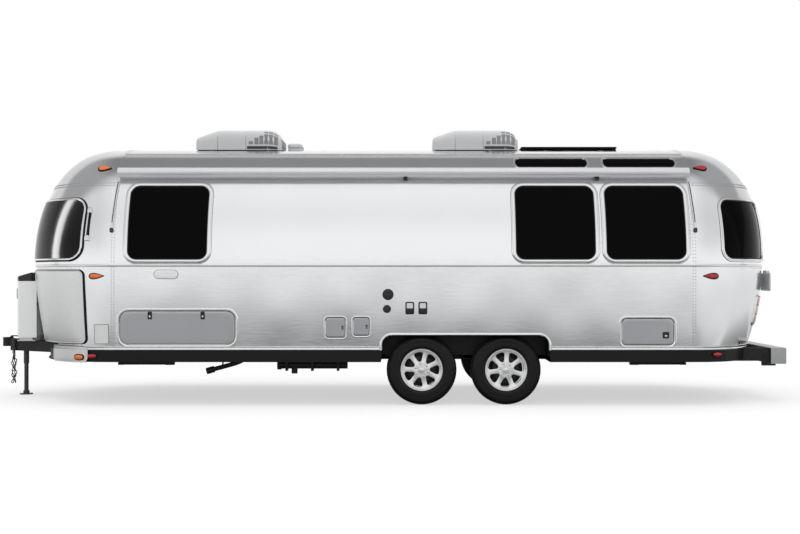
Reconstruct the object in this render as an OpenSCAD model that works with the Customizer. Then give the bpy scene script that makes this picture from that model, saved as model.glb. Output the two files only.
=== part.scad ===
// Twin-axle travel caravan with a riveted aluminium shell, parked on its wheels and its jack.
// Millimetres. +X points to the rear, +Y to the kerb side with the entry door, +Z up.
// The ground is at z = 0, and x = 0 is halfway between the coupler nose and the bumper face.

/* [Shell] */
// Half the length of the straight shell, seam to seam
half_straight = 2990; // [2700:10:3600]
// Half the width over the side walls
half_w = 1289; // [1180:1:1547]
// Thickness of walls, roof, caps and door
wall_t = 45; // [35:1:55]
// Underside of the side walls
sill_z = 573; // [565:1:580]
// Belt line, where the walls start to curve inwards
belt_z = 1457; // [1440:1:1750]
// Radius of the window band of the wall
side_r = 1600; // [1500:10:1700]
// Radius of the roof shoulder
shoulder_r = 789; // [700:1:850]
// Angle round the section at which the gutter rail sits
gutter_deg = 66; // [63:1:69]

/* [End caps] */
// How far the front cap reaches past its seam
front_depth = 1084; // [1040:1:1120]
// How far the rear cap reaches past its seam
rear_depth = 976; // [930:1:1020]
// Plan roundness of the caps, where 2 is an ellipse
plan_power = 2.2; // [2:0.05:2.4]

/* [Ends] */
// Coupler nose ahead of the front cap
hitch_reach = 456; // [430:1:600]
// Bumper face behind the rear cap
bumper_reach = 104; // [90:1:200]

/* [Wheels] */
// Tyre radius
tyre_r = 365; // [350:1:370]
// Tyre width
tyre_w = 215; // [179:1:220]
// Rim lip radius
rim_r = 218; // [200:1:225]
// Outer face of the tyre, measured in from the side wall
tyre_inset = 69; // [60:1:80]
// Middle of the axle pair, from the middle of the shell
axles_x = 625; // [500:1:800]
// Distance between the two axles
axle_gap = 874; // [780:1:1040]
// Radius of the wheel spindles
spindle_r = 22; // [18:1:27]
// Spokes in each wheel
spoke_count = 7; // [5:1:9]
// Clearance of the arch and the wheel well round the tyres
arch_gap = 44; // [30:1:60]

/* [Side windows] */
// Glass width
window_w = 826; // [688:1:991]
// Lower edge of the glass
window_z0 = 1502; // [1500:1:1560]
// Upper edge of the glass
window_z1 = 2280; // [2150:1:2290]
// Corner radius of the glass
window_r = 95; // [60:1:120]
// Visible width of a window frame
window_rim = 42; // [30:1:48]
// How far a window frame stands off the wall
rim_proud = 12; // [6:1:18]
// Glass thickness
glass_t = 8; // [5:1:12]
// Wall between the rear window and the rear seam
window_margin = 78; // [70:1:120]
// Wall between the two rear windows
window_pillar = 106; // [100:1:140]

/* [Entry door] */
// Width of the door leaf
door_w = 716; // [597:1:859]
// Front edge of the door leaf, from the middle of the shell
door_x = -1700; // [-1740:1:-1600]
// Lower edge of the door leaf
door_z0 = 668; // [664:1:700]
// Upper edge of the door leaf
door_z1 = 2310; // [2200:1:2330]
// Gap round the door leaf
door_gap = 9; // [8:0.5:12]

/* [Lids] */
// Front locker lid length
locker_w = 1180; // [983:1:1190]
// Front locker lid height
locker_h = 338; // [282:1:345]
// Front locker lid lower edge
locker_z = 634; // [630:1:640]
// Rear locker lid length
rear_lid_w = 528; // [440:1:560]
// Rear locker lid height
rear_lid_h = 266; // [222:1:300]
// Gap round a lid
lid_gap = 6; // [6:0.5:8]
// Lid thickness
lid_t = 18; // [12:1:20]
// Depth of the lockers behind the wall
locker_depth = 480; // [400:1:500]

/* [Chassis] */
// Height of the chassis rails
rail_h = 125; // [105:1:130]
// Width of the chassis rails
rail_w = 60; // [50:1:70]
// Centre line of a main rail, from the middle
rail_y = 850; // [830:1:860]
// Underside of the belly pan
belly_z = 450; // [445:1:460]
// Floor deck thickness
deck_t = 25; // [18:1:28]
// Top of the floor deck
floor_z = 653; // [650:1:656]

/* [Hitch] */
// Radius of the ball socket
socket_r = 29.7; // [25.4:0.1:30]
// Height of the mouth of the ball socket
socket_z = 545; // [530:1:560]
// Radius of the safety chain
chain_r = 10; // [8:0.5:12]
// Radius of the jack leg
jack_leg_r = 24; // [20:0.5:25]
// Radius of a gas cylinder
cylinder_r = 130; // [108:1:132]

/* [Roof] */
// Top of the air conditioners
ac_top_z = 2970; // [2940:1:3050]
// Width of an air conditioner
ac_w = 720; // [600:1:864]
// Awning roller radius
awning_r = 53; // [44:1:60]
// Angle of the awning rolls above the belt, as seen along the body
awning_deg = 35; // [35:1:37]

/* [Hidden] */
$fn = 64;

// Small gap between a curved skin and what is laid on it
seat = 0.3;
left = -1;
right = 1;

// The section: a straight wall, then three arcs that share their tangents
side_deg = 35;
crown_deg = 80;
side_top = [half_w - side_r + side_r * cos(side_deg), belt_z + side_r * sin(side_deg)];
shoulder_c = side_top - shoulder_r * [cos(side_deg), sin(side_deg)];
shoulder_top = shoulder_c + shoulder_r * [cos(crown_deg), sin(crown_deg)];
crown_r = shoulder_top[0] / cos(crown_deg);
crown_z = shoulder_top[1] - crown_r * sin(crown_deg);
apex_z = crown_z + crown_r;

// Each cap: depth, the two powers of its side view, and how it tucks in below the belt
front_form = [front_depth, 2.03, 2.89, 0.1, 0.000076];
rear_form = [rear_depth, 2.7, 2.31, 0, 0.00024];

// Middle of the shell in the vehicle's frame
nose_x = -(half_straight + front_depth);
mid_x = (hitch_reach + front_depth - rear_depth - bumper_reach) / 2;
coupler_x = nose_x - hitch_reach;
bumper_x = half_straight + rear_depth + bumper_reach;

// Break lines of the caps: heights below the belt, then angles above it
sill_s = sill_z - belt_z;
strip_h = 41;
slot_h = 57;
guard_s0 = sill_s + 107;
guard_s1 = -57;
belt_h = 12;
belt_deg = 0.5;
pane_deg0 = 2;
front_pane_deg = 22;
rear_pane_deg = 25;
guard_deg = 27;
low_rows = concat(
    [sill_s, sill_s + strip_h, sill_s + slot_h],
    [for (k = [0:5]) guard_s0 + (guard_s1 - guard_s0) * k / 5],
    [-belt_h, 0]
);
high_rows = [
    0, belt_deg, pane_deg0, 7, 12, 17, front_pane_deg, rear_pane_deg, guard_deg, 31,
    side_deg, 41, 47, 53, 60, 66, 72, 76, crown_deg, 84, 88, 89.5
];
half_cols = [8, 16, 23, 26, 34, 42, 50, 58, 66, 70, 72.5, 81, 90];
plan_cols = concat([for (k = [len(half_cols) - 1:-1:0]) -half_cols[k]], [0], half_cols);
mullion = [23, 26];
wing_front = 66;
wing_edge = 70;
frame_edge = 72.5;

wall_deg = concat([for (a = high_rows) if (a < gutter_deg - 1) a], [gutter_deg]);
half_roof = concat([gutter_deg], [for (a = high_rows) if (a > gutter_deg + 1) a]);
roof_deg = concat(half_roof, [for (k = [len(half_roof) - 1:-1:0]) 180 - half_roof[k]]);

// Where the side windows sit along the shell
rear_window_x = half_straight - window_margin - window_w / 2;
mid_window_x = rear_window_x - window_w - window_pillar;
front_window_x = -half_straight + 146 + window_w / 2;
kitchen_window_x = door_x + door_w + 310 + window_w / 2;
left_windows = [front_window_x, mid_window_x, rear_window_x];
right_windows = [front_window_x - 60, kitchen_window_x, mid_window_x, rear_window_x];
vista_deg = [45.5, 58.5];
door_hinge_y = half_w + 13;

// Wheels, wells and arches
wheel_xs = [axles_x - axle_gap / 2, axles_x + axle_gap / 2];
tyre_y1 = half_w - tyre_inset;
tyre_y0 = tyre_y1 - tyre_w;
arch_x0 = wheel_xs[0] - tyre_r - arch_gap;
arch_x1 = wheel_xs[1] + tyre_r + arch_gap + 24;
arch_top = 2 * tyre_r - 4;
well_t = 12;
well_y = tyre_y0 - 75;
well_z = 2 * tyre_r + 70;

// Chassis levels
deck_z = floor_z - deck_t;
rail_z = deck_z - rail_h;
pan_t = 12;

// Lids in the left wall: [front edge, lower edge, width, height, corner radius]
locker_lid = [-2913, locker_z, locker_w, locker_h, 85];
rear_lid = [2246, 628, rear_lid_w, rear_lid_h, 45];
service_front = [-797, 707, 194, 197, 25];
service_rear = [-512, 727, 157, 177, 20];
tray_depth = 110;
lid_hinge = 6;
lid_pin_r = 4.5;

// Stabilisers: pivots and leg length
leg_l = 545;
leg_z = belly_z - 36;
leg_front_x = -2480;
leg_rear_x = 2450;
pin_r = 8;
pin_gap = 0.08;

// Jack and gas locker
jack_x = nose_x - 193;
jack_plate_x0 = jack_x - 70;
jack_plate_x1 = jack_x + 95;
jack_plate_y = 190;
gas_x = nose_x - 76;
gas_y = 215;
gas_z0 = 660;
gas_z1 = 1280;
gas_half_w = 400;
gas_front = nose_x - 252;
gas_corner = nose_x - 157;

// ---- shared geometry -------------------------------------------------------------

// A point of the section at angle a, d outside the skin: [distance from the middle, height]
function wall_pt(a, d) =
    a > 90 ? [-wall_pt(180 - a, d)[0], wall_pt(180 - a, d)[1]]
    : a <= side_deg ? [half_w - side_r, belt_z] + (side_r + d) * [cos(a), sin(a)]
    : a <= crown_deg ? shoulder_c + (shoulder_r + d) * [cos(a), sin(a)]
    : [0, crown_z] + (crown_r + d) * [cos(a), sin(a)];

// Closed outline of a band of the section, from d0 to d1 off the skin
function band(angles, d0, d1, low_z = 1e9) = concat(
    low_z < belt_z ? [[half_w + d1, low_z]] : [],
    [for (a = angles) wall_pt(a, d1)],
    [for (k = [len(angles) - 1:-1:0]) wall_pt(angles[k], d0)],
    low_z < belt_z ? [[half_w + d0, low_z]] : []
);

// How far a cap reaches past its seam at height z, d outside the skin
function nose(form, z, d) =
    z > belt_z
    ? (form[0] + d) * pow(max(0, 1 - pow((z - belt_z) / (apex_z + d - belt_z), form[1])), 1 / form[2])
    : form[0] + d - form[3] * (belt_z - z) - form[4] * pow(belt_z - z, 2);

// Superellipse factors of the plan at angle f: [along the shell, across it]
function plan(f) = [pow(abs(cos(f)), 2 / plan_power), sign(f) * pow(abs(sin(f)), 2 / plan_power)];

// A point of a cap: s is a height below the belt, or an angle above it
function cap_pt(form, s, f, d) =
    let (yz = s <= 0 ? [half_w + d, belt_z + s] : wall_pt(s, d), n = nose(form, yz[1], d))
    [half_straight + n * plan(f)[0], yz[0] * plan(f)[1], yz[1]];

// Plan outline of the whole shell at height z, d outside the skin
function shell_outline(z, d) = concat(
    [for (f = plan_cols) [half_straight + nose(rear_form, z, d) * plan(f)[0], (half_w + d) * plan(f)[1]]],
    [for (k = [len(plan_cols) - 1:-1:0]) let (f = plan_cols[k])
        [-half_straight - nose(front_form, z, d) * plan(f)[0], (half_w + d) * plan(f)[1]]]
);

function between(v, low, high) = [for (q = v) if (q >= low && q <= high) q];

// The same lines with both ends drawn in by a hair, so that a panel drops into its opening
function eased(v, low, high) = concat([low + 0.03], between(v, low + 0.5, high - 0.5), [high - 0.03]);

function in_box(s, f, b) = s > b[0] && s < b[1] && f > b[2] && f < b[3];

module placed() translate([mid_x, 0, 0]) children();

module on_side(side) mirror([0, side < 0 ? 1 : 0, 0]) children();

module at_front() mirror([1, 0, 0]) children();

// Extrudes a section drawn as [y, z] from x0 to x1
module along_x(x0, x1) translate([x0, 0, 0]) rotate([90, 0, 90]) linear_extrude(x1 - x0) children();

// Extrudes a side view drawn as [x, z] from y0 to y1
module along_y(y0, y1) translate([0, y1, 0]) rotate([90, 0, 0]) linear_extrude(y1 - y0) children();

module box(a, b) translate(a) cube(b - a);

module round_rect(x, z, w, h, r) {
    translate([x + r, z]) square([w - 2 * r, h]);
    translate([x, z + r]) square([w, h - 2 * r]);
    for (cx = [x + r, x + w - r], cz = [z + r, z + h - r]) translate([cx, cz]) circle(r);
}

// Part of a cap as a closed skin from d0 to d1, over the given rows and columns, less the holes
module skin(form, rows, cols, d0, d1, holes = []) {
    nr = len(rows);
    nc = len(cols);
    function keep(i, j) =
        i >= 0 && j >= 0 && i < nr - 1 && j < nc - 1
        && len([for (b = holes)
            if (in_box((rows[i] + rows[i + 1]) / 2, (cols[j] + cols[j + 1]) / 2, b)) 1]) == 0;
    points = [for (d = [d1, d0], s = rows, f = cols) cap_pt(form, s, f, d)];
    function at(i, j, inner) = (inner * nr + i) * nc + j;
    cells = [for (i = [0:nr - 2], j = [0:nc - 2]) if (keep(i, j)) [i, j]];
    quads = [for (c = cells) let (
            i = c[0], j = c[1],
            a = at(i, j, 0), b = at(i + 1, j, 0), e = at(i + 1, j + 1, 0), g = at(i, j + 1, 0),
            a2 = at(i, j, 1), b2 = at(i + 1, j, 1), e2 = at(i + 1, j + 1, 1), g2 = at(i, j + 1, 1)
        ) each [
            [a, b, e, g],
            [a2, g2, e2, b2],
            if (!keep(i - 1, j)) [a, g, g2, a2],
            if (!keep(i, j - 1)) [b, a, a2, b2],
            if (!keep(i + 1, j)) [e, b, b2, e2],
            if (!keep(i, j + 1)) [g, e, e2, g2],
        ]];
    polyhedron(points, [for (q = quads) each [[q[0], q[1], q[2]], [q[0], q[2], q[3]]]], convexity = 8);
}

// A straight bar of width w between two plan points, from z0 to z1
module bar(p, q, w, z0, z1) {
    run = q - p;
    translate([p[0], p[1], z0]) rotate(atan2(run[1], run[0]))
        translate([0, -w / 2, 0]) cube([norm(run), w, z1 - z0]);
}

// ---- chassis ---------------------------------------------------------------------

rail_x0 = -3180;
rail_x1 = 3480;
cross_w = 60;
arm_y = rail_y - 35;

module chassis_rails() placed() color("#26282b")
    for (y = [-rail_y, rail_y])
        box([rail_x0, y - rail_w / 2, rail_z], [rail_x1, y + rail_w / 2, deck_z]);

module chassis_crossmembers() placed() color("#26282b") {
    inner = rail_y - rail_w / 2;
    for (x = [-2500, -1700, -900, -100, 1450, 2200, 2900, rail_x1 - cross_w])
        box([x, -inner, rail_z + 25], [x + cross_w, inner, deck_z]);
    box([rail_x0 - cross_w, -rail_y - rail_w / 2, rail_z], [rail_x0, rail_y + rail_w / 2, deck_z]);
}

module drawbar() placed() color("#1b1c1e") {
    joint_x = rail_x0 - cross_w;
    tip_x = coupler_x + 130;
    for (side = [left, right]) difference() {
        bar([joint_x + 100, side * (rail_y + 60)], [tip_x, side * 72], rail_w, rail_z, deck_z - 6);
        box([joint_x, -2 * rail_y, 0], [joint_x + 400, 2 * rail_y, belt_z]);
    }
}

// The safety chain as a plain bar: it hangs down the left outer face of the drawbar
module safety_chain() placed() color("#1c1d1f") {
    tip = [coupler_x + 130, -72];
    run = [rail_x0 - cross_w + 100, -rail_y - 60] - tip;
    way = run / norm(run);
    place = tip + 76 * way + (rail_w / 2 + chain_r + seat) * [way[1], -way[0]];
    translate([place[0], place[1], 110]) cylinder(h = deck_z + 14 - 110, r = chain_r);
}

module coupler() placed() color("#2b2d30") {
    ball_x = coupler_x + 46;
    plate_x = [coupler_x + 130, jack_plate_x1];
    difference() {
        union() {
            translate([ball_x, 0, socket_z]) cylinder(h = 100, r = 46);
            box([ball_x, -38, socket_z + 14], [coupler_x + 190, 38, deck_z + 2]);
            box([plate_x[0], -40, deck_z - 6], [plate_x[1], 40, deck_z + 4]);
            box([jack_plate_x0, -jack_plate_y, deck_z - 6], [jack_plate_x1, jack_plate_y, deck_z + 4]);
            translate([ball_x + 50, 0, deck_z + 1]) cylinder(h = 26, r = 20);
            box([ball_x + 45, -9, deck_z + 26], [ball_x + 175, 9, deck_z + 38]);
        }
        translate([ball_x, 0, socket_z - 1]) cylinder(h = 46, r = socket_r);
        translate([ball_x, 0, socket_z + 45]) sphere(socket_r);
        translate([jack_x, 0, deck_z - 20]) cylinder(h = 40, r = jack_leg_r + 7);
    }
}

// Cuts for the tyres, running out past the side walls
module wheel_cut(y0, z0, z1, grow = 0) for (side = [left, right]) on_side(side)
    box([arch_x0 - grow, y0, z0], [arch_x1 + grow, half_w + 100, z1]);

module floor_deck() placed() color("#b9a98a") difference() {
    translate([0, 0, deck_z]) linear_extrude(deck_t)
        polygon(shell_outline(deck_z, -wall_t - 1));
    wheel_cut(well_y - well_t, deck_z - 1, floor_z + 1, well_t);
}

module belly_pan() placed() color("#17181a") difference() {
    translate([0, 0, belly_z]) linear_extrude(sill_z - belly_z) polygon(shell_outline(sill_z, -2));
    translate([0, 0, belly_z + pan_t]) linear_extrude(sill_z - belly_z)
        polygon(shell_outline(sill_z, -2 - pan_t));
    wheel_cut(rail_y - rail_w / 2 - 12, belly_z - 1, sill_z + 1, well_t);
    box([nose_x - 100, -760, belly_z + pan_t], [-half_straight - 300, 760, sill_z + 1]);
    for (y = [-arm_y, arm_y]) box([rail_x1 - 1, y - 20, belly_z - 1], [bumper_x, y + 20, sill_z + 1]);
}

module wheel_wells() placed() color("#1d1e20") for (side = [left, right]) on_side(side) difference() {
    y1 = half_w - wall_t;
    box([arch_x0 - well_t, well_y - well_t, rail_z], [arch_x1 + well_t, y1, well_z + well_t]);
    box([arch_x0, well_y, rail_z - 1], [arch_x1, y1 + 1, well_z]);
}

module axles() placed() color("#2a2b2d") for (x = wheel_xs) {
    tube_x = x - 150;
    tube_z = belly_z - 46;
    for (side = [left, right]) on_side(side) {
        translate([x, well_y + 18, tyre_r]) rotate([-90, 0, 0])
            cylinder(h = tyre_y1 - well_y - 72, r = spindle_r);
        along_y(well_y - 26, well_y + 18) {
            translate([tube_x, tube_z]) circle(44);
            translate([x, tyre_r]) circle(40);
            polygon([[tube_x, tube_z + 40], [x, tyre_r + 38], [x, tyre_r - 38], [tube_x, tube_z - 40]]);
        }
        box([tube_x - 45, rail_y - 24, tube_z], [tube_x + 45, rail_y + 24, rail_z]);
    }
    translate([tube_x, 0, tube_z]) rotate([90, 0, 0]) cylinder(h = 2 * well_y - 50, r = 38, center = true);
}

module bumper() placed() color("#8f9397") {
    half = 850;
    z0 = 402;
    z1 = 572;
    x1 = bumper_x;
    x0 = x1 - 165;
    difference() {
        box([x0, -half, z0], [x1, half, z1]);
        box([x0 - 1, -half - 1, z0 + 10], [x1 - 10, half + 1, z1 - 10]);
    }
    for (y = [-arm_y, arm_y]) box([rail_x1, y - 8, z0 + 30], [x0 + 100, y + 8, rail_z + 55]);
    for (y = [-arm_y, arm_y]) box([x0 - 90, y - 8, z0 - 20], [x0 + 60, y + 8, z0 + 40]);
}

// Hangers of the stabilisers, the step runners and the waste outlets below the pan
module underbody_fittings() placed() color("#202124") {
    for (x = [leg_front_x, leg_rear_x], y = [-rail_y, rail_y]) difference() {
        box([x - 45, y - 34, leg_z - 22], [x + 45, y + 34, belly_z]);
        box([x - 46, y - 26, leg_z - 30], [x + 46, y + 26, belly_z - 8]);
        translate([x, y, leg_z]) rotate([90, 0, 0]) cylinder(h = 100, r = pin_r + pin_gap, center = true);
    }
    for (x = [door_x + 50, door_x + door_w - 70])
        box([x, 660, belly_z - 50], [x + 20, half_w - 30, belly_z]);
    waste_run();
}

module waste_run() {
    y = -rail_y - 90;
    r = 40;
    translate([-1290, y, belly_z - 52]) rotate([0, 90, 0]) cylinder(h = 700, r = r);
    for (x = [-1230, -960, -690]) {
        translate([x, y, belly_z - 52]) cylinder(h = 52, r = r - 4);
        box([x - 12, y - 62, belly_z - 112], [x + 12, y + 50, belly_z - 2]);
    }
    translate([-1330, y, belly_z - 52]) rotate([0, 90, 0]) cylinder(h = 42, r = r + 10);
    translate([-1150, y, belly_z - 52]) rotate([180, 0, 0]) cylinder(h = 90, r = r - 8);
}

// ---- shell -----------------------------------------------------------------------

module window_cut(x, w, z0, z1, r) along_y(200, half_w + 200) round_rect(x - w / 2, z0, w, z1 - z0, r);

module vista_cut(x, grow) intersection() {
    w = window_w - 60 + 2 * grow;
    z0 = wall_pt(vista_deg[0], 0)[1] - grow;
    z1 = wall_pt(vista_deg[1], 0)[1] + grow;
    along_y(200, half_w) round_rect(x - w / 2, z0, w, z1 - z0, (z1 - z0) / 2 - 1);
}

module door_cut(grow) along_y(200, half_w + 200)
    round_rect(door_x - grow, door_z0 - grow, door_w + 2 * grow, door_z1 - door_z0 + 2 * grow, 70 + grow);

module lid_cut(lid, grow) along_y(half_w - 200, half_w + 100)
    round_rect(lid[0] - grow, lid[1] - grow, lid[2] + 2 * grow, lid[3] + 2 * grow, lid[4] + grow);

module arch_cut(grow) along_y(half_w - 100, half_w + 100) {
    round_rect(arch_x0 - grow, arch_top - 300, arch_x1 - arch_x0 + 2 * grow, 300 + grow, 100);
    translate([arch_x0 - grow, 0]) square([arch_x1 - arch_x0 + 2 * grow, arch_top - 150]);
}

module lower_wall() along_x(-half_straight, half_straight)
    polygon([[half_w - wall_t, sill_z], [half_w, sill_z], [half_w, belt_z], [half_w - wall_t, belt_z]]);

module upper_wall() along_x(-half_straight, half_straight) polygon(band(wall_deg, -wall_t, 0));

module lower_wall_left() placed() color("#c9ccd0") on_side(left) difference() {
    lower_wall();
    arch_cut(0);
    for (lid = [locker_lid, rear_lid, service_front, service_rear]) lid_cut(lid, lid_gap);
}

module lower_wall_right() placed() color("#c9ccd0") difference() {
    lower_wall();
    arch_cut(0);
    door_cut(door_gap);
}

module upper_wall_left() placed() color("#d9dcdf") on_side(left) difference() {
    upper_wall();
    for (x = left_windows) window_cut(x, window_w, window_z0, window_z1, window_r);
    for (x = [mid_window_x, rear_window_x]) vista_cut(x, 0);
}

module upper_wall_right() placed() color("#d9dcdf") difference() {
    upper_wall();
    for (x = right_windows) window_cut(x, window_w, window_z0, window_z1, window_r);
    for (x = [mid_window_x, rear_window_x]) vista_cut(x, 0);
    door_cut(door_gap);
}

module roof_panel() placed() color("#b9bcc0")
    along_x(-half_straight, half_straight) polygon(band(roof_deg, -wall_t, 0));

// Closes the small opening that the rows leave at the crown
module crown_cap() box([half_straight, -26, apex_z - wall_t], [half_straight + 58, 26, apex_z - 0.2]);

module cap_upper(form, pane_top) {
    wings = [pane_deg0, pane_top, mullion[1], wing_front];
    skin(form, high_rows, plan_cols, -wall_t, 0, [
        [pane_deg0, pane_top, -mullion[0], mullion[0]],
        wings,
        [wings[0], wings[1], -wings[3], -wings[2]],
    ]);
    crown_cap();
}

module front_cap_upper() placed() color("#d5d8db") at_front() cap_upper(front_form, front_pane_deg);

module rear_cap_upper() placed() color("#d5d8db") cap_upper(rear_form, rear_pane_deg);

// The lowest rows stay open where the drawbar passes under the nose
module front_cap_lower() placed() color("#c4c8cc") at_front()
    skin(front_form, low_rows, plan_cols, -wall_t, 0, [[sill_s - 1, sill_s + slot_h, -50, 50]]);

module rear_cap_lower() placed() color("#c4c8cc") skin(rear_form, low_rows, plan_cols, -wall_t, 0);

module belt_strip(x0, x1) box([x0, half_w, belt_z - belt_h], [x1, half_w + 8, belt_z]);

module rail_strip(x0, x1) box([x0, half_w, sill_z], [x1, half_w + 10, sill_z + strip_h]);

module cap_strips(form, half_open) {
    skin(form, between(low_rows, -belt_h, 0), between(plan_cols, -81, 81), seat, 8);
    for (cols = [between(plan_cols, -81, -half_open), between(plan_cols, half_open, 81)])
        skin(form, between(low_rows, sill_s, sill_s + strip_h), cols, seat, 10);
}

// Belt line, bright lower rail, arch edging and gutter rails
module trim_strips() placed() color("#a9adb2") {
    end = half_straight - 2;
    for (side = [left, right]) on_side(side) {
        rail_strip(-end, arch_x0 - 30);
        rail_strip(arch_x1 + 30, end);
        difference() {
            along_y(half_w, half_w + 12)
                round_rect(arch_x0 - 26, arch_top - 300, arch_x1 - arch_x0 + 52, 326, 110);
            arch_cut(0);
            box([-end, half_w - 1, -10], [end, half_w + 20, sill_z]);
        }
        along_x(-end, end) polygon(band([gutter_deg - 1.4, gutter_deg, gutter_deg + 1.4], seat, 14));
    }
    on_side(left) belt_strip(-end, end);
    belt_strip(-end, door_x - door_gap - 14);
    belt_strip(door_x + door_w + door_gap + 14, end);
    at_front() cap_strips(front_form, 50);
    cap_strips(rear_form, 8);
}

module side_frame(x) intersection() {
    along_x(x - window_w, x + window_w) polygon(band(between(wall_deg, 0, 47), seat, rim_proud));
    difference() {
        window_cut(x, window_w + 2 * window_rim, window_z0 - window_rim + 4, window_z1 + window_rim,
            window_r + window_rim);
        window_cut(x, window_w - 8, window_z0 + 4, window_z1 - 4, window_r - 4);
    }
}

module vista_frame(x) intersection() {
    along_x(x - window_w, x + window_w) polygon(band(between(wall_deg, 41, 60), seat, 7));
    difference() {
        vista_cut(x, 14);
        vista_cut(x, -3);
    }
}

module door_frame() difference() {
    intersection() {
        along_x(door_x - 100, door_x + door_w + 100)
            polygon(band(between(wall_deg, 0, 47), seat, 5, sill_z + strip_h + 2));
        door_cut(door_gap + 12);
    }
    door_cut(door_gap);
}

// Rims of the side windows, the vista windows, the door opening and the rear window
module window_frames() placed() color("#c8cbce") {
    on_side(left) for (x = left_windows) side_frame(x);
    for (x = right_windows) side_frame(x);
    for (side = [left, right], x = [mid_window_x, rear_window_x]) on_side(side) vista_frame(x);
    door_frame();
    skin(rear_form, between(high_rows, belt_deg, guard_deg), between(plan_cols, -frame_edge, frame_edge),
        seat, 14, [[pane_deg0, rear_pane_deg, -wing_edge, wing_edge]]);
    at_front() skin(front_form, between(high_rows, belt_deg, guard_deg),
        between(plan_cols, -frame_edge, frame_edge), seat, 44,
        [[pane_deg0, rear_pane_deg, -wing_edge, wing_edge]]);
}

module side_pane(x) intersection() {
    along_x(x - window_w, x + window_w) polygon(band(between(wall_deg, 0, 47), -4 - glass_t, -4));
    window_cut(x, window_w - 1, window_z0 + 0.5, window_z1 - 0.5, window_r);
}

module vista_pane(x) intersection() {
    along_x(x - window_w, x + window_w) polygon(band(between(wall_deg, 41, 60), -4 - glass_t, -4));
    vista_cut(x, -0.5);
}

// Glass of a cap: a middle pane and two wings, a hair inside the openings
module cap_panes(form, top) {
    rows = eased(high_rows, pane_deg0, top);
    skin(form, rows, eased(plan_cols, -mullion[0], mullion[0]), -4 - glass_t, -4);
    for (side = [left, right]) on_side(side)
        skin(form, rows, eased(plan_cols, mullion[1], wing_front), -4 - glass_t, -4);
}

module window_glass() placed() color("#23272b", 0.6) {
    on_side(left) for (x = left_windows) side_pane(x);
    for (x = right_windows) side_pane(x);
    for (side = [left, right], x = [mid_window_x, rear_window_x]) on_side(side) vista_pane(x);
    cap_panes(rear_form, rear_pane_deg);
    at_front() cap_panes(front_form, front_pane_deg);
}

// Dark guard that stands off the front windows inside its own rim
module window_guard() placed() color("#101214") at_front()
    skin(front_form, eased(high_rows, pane_deg0, rear_pane_deg), eased(plan_cols, -wing_edge, wing_edge),
        34, 40);

module stone_guards() placed() color("#b5b9bd") at_front()
    for (cols = [between(plan_cols, -frame_edge, -mullion[1]), between(plan_cols, mullion[1], frame_edge)])
        skin(front_form, between(low_rows, guard_s0, guard_s1), cols, seat, 4);

// ---- roof and awnings --------------------------------------------------------------

module awning(drop_deg) {
    c = wall_pt(awning_deg, 0) + (awning_r + 22) * [cos(awning_deg), sin(awning_deg)];
    arm = concat([drop_deg], between(wall_deg, drop_deg + 2, awning_deg - 1), [awning_deg]);
    end = half_straight - 4;
    along_x(-end, end) translate(c) circle(awning_r);
    for (x = [-end - 2, end - 26]) along_x(x, x + 28) polygon(band(arm, seat, 24));
    for (x = [0, (mid_window_x + rear_window_x) / 2 - 20]) along_x(x, x + 40) difference() {
        polygon(band([awning_deg - 1.4, awning_deg, awning_deg + 6], seat, 40));
        translate(c) circle(awning_r + seat);
    }
}

module awnings() placed() color("#e4e6e8") {
    on_side(left) awning(13);
    awning(7);
}

// Cross-section of something laid on the roof: flat top at z1, underside on the roof's arc
module on_roof(w, z1) {
    edge = acos(w / 2 / crown_r);
    arc = concat([edge], [for (a = roof_deg) if (a > edge && a < 180 - edge) a], [180 - edge]);
    polygon(concat([for (a = arc) wall_pt(a, seat)], [[-w / 2, z1], [w / 2, z1]]));
}

module air_conditioner(x0, length) intersection() {
    along_x(x0, x0 + length) on_roof(ac_w, ac_top_z);
    along_y(-ac_w, ac_w) polygon([
        [x0, apex_z - 60], [x0 + length, apex_z - 60], [x0 + length, ac_top_z - 52],
        [x0 + length - 40, ac_top_z], [x0 + 300, ac_top_z], [x0 + 60, ac_top_z - 120], [x0, ac_top_z - 190],
    ]);
}

module air_conditioners() placed() color("#d3d5d6") {
    air_conditioner(-2326, 980);
    air_conditioner(330, 965);
}

module roof_fittings() placed() {
    color("#e2e3e2") along_x(-1296, -1138) on_roof(380, apex_z + 84);
    color("#202a3c") difference() {
        along_x(1305, 2360) on_roof(620, apex_z + 24);
        box([1275, -330, apex_z - 80], [2390, -250, apex_z + 8]);
        box([1275, 250, apex_z - 80], [2390, 330, apex_z + 8]);
        box([1335, -400, apex_z - 80], [2330, 400, apex_z + 8]);
    }
}

// ---- lamps, plates and small fittings ----------------------------------------------

module marker(form, s, h, f, w, proud)
    skin(form, [s - h / 2, s + h / 2], [f - w / 2, f, f + w / 2], seat, proud);

module tail_lamps() placed() color("#a01818") {
    for (cols = [between(plan_cols, -34, -26), between(plan_cols, 26, 34)])
        skin(rear_form, between(low_rows, guard_s0 + 120, -330), cols, seat, 26);
    for (side = [left, right]) on_side(side) {
        marker(rear_form, -110, 26, 72.5, 5, 16);
        marker(rear_form, 41, 3.4, 70, 6, 16);
        marker(rear_form, sill_s + 78, 22, 70, 5, 16);
    }
    for (f = [-8, 0, 8]) marker(rear_form, 53, 2.6, f, 4, 16);
}

module amber_markers() placed() color("#d98a1e") at_front() {
    for (side = [left, right]) on_side(side) {
        marker(front_form, -110, 26, 81, 4, 16);
        marker(front_form, 41, 3.4, 72.5, 6, 16);
        marker(front_form, sill_s + 78, 22, 66, 5, 16);
    }
    for (f = [-8, 0, 8]) marker(front_form, 53, 2.6, f, 4, 16);
}

plate_bolt_r = 3;
plate_x = half_straight + nose(rear_form, belt_z - 57, 22) * plan(16)[0] - 1.6;
plate_y = -474;

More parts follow.
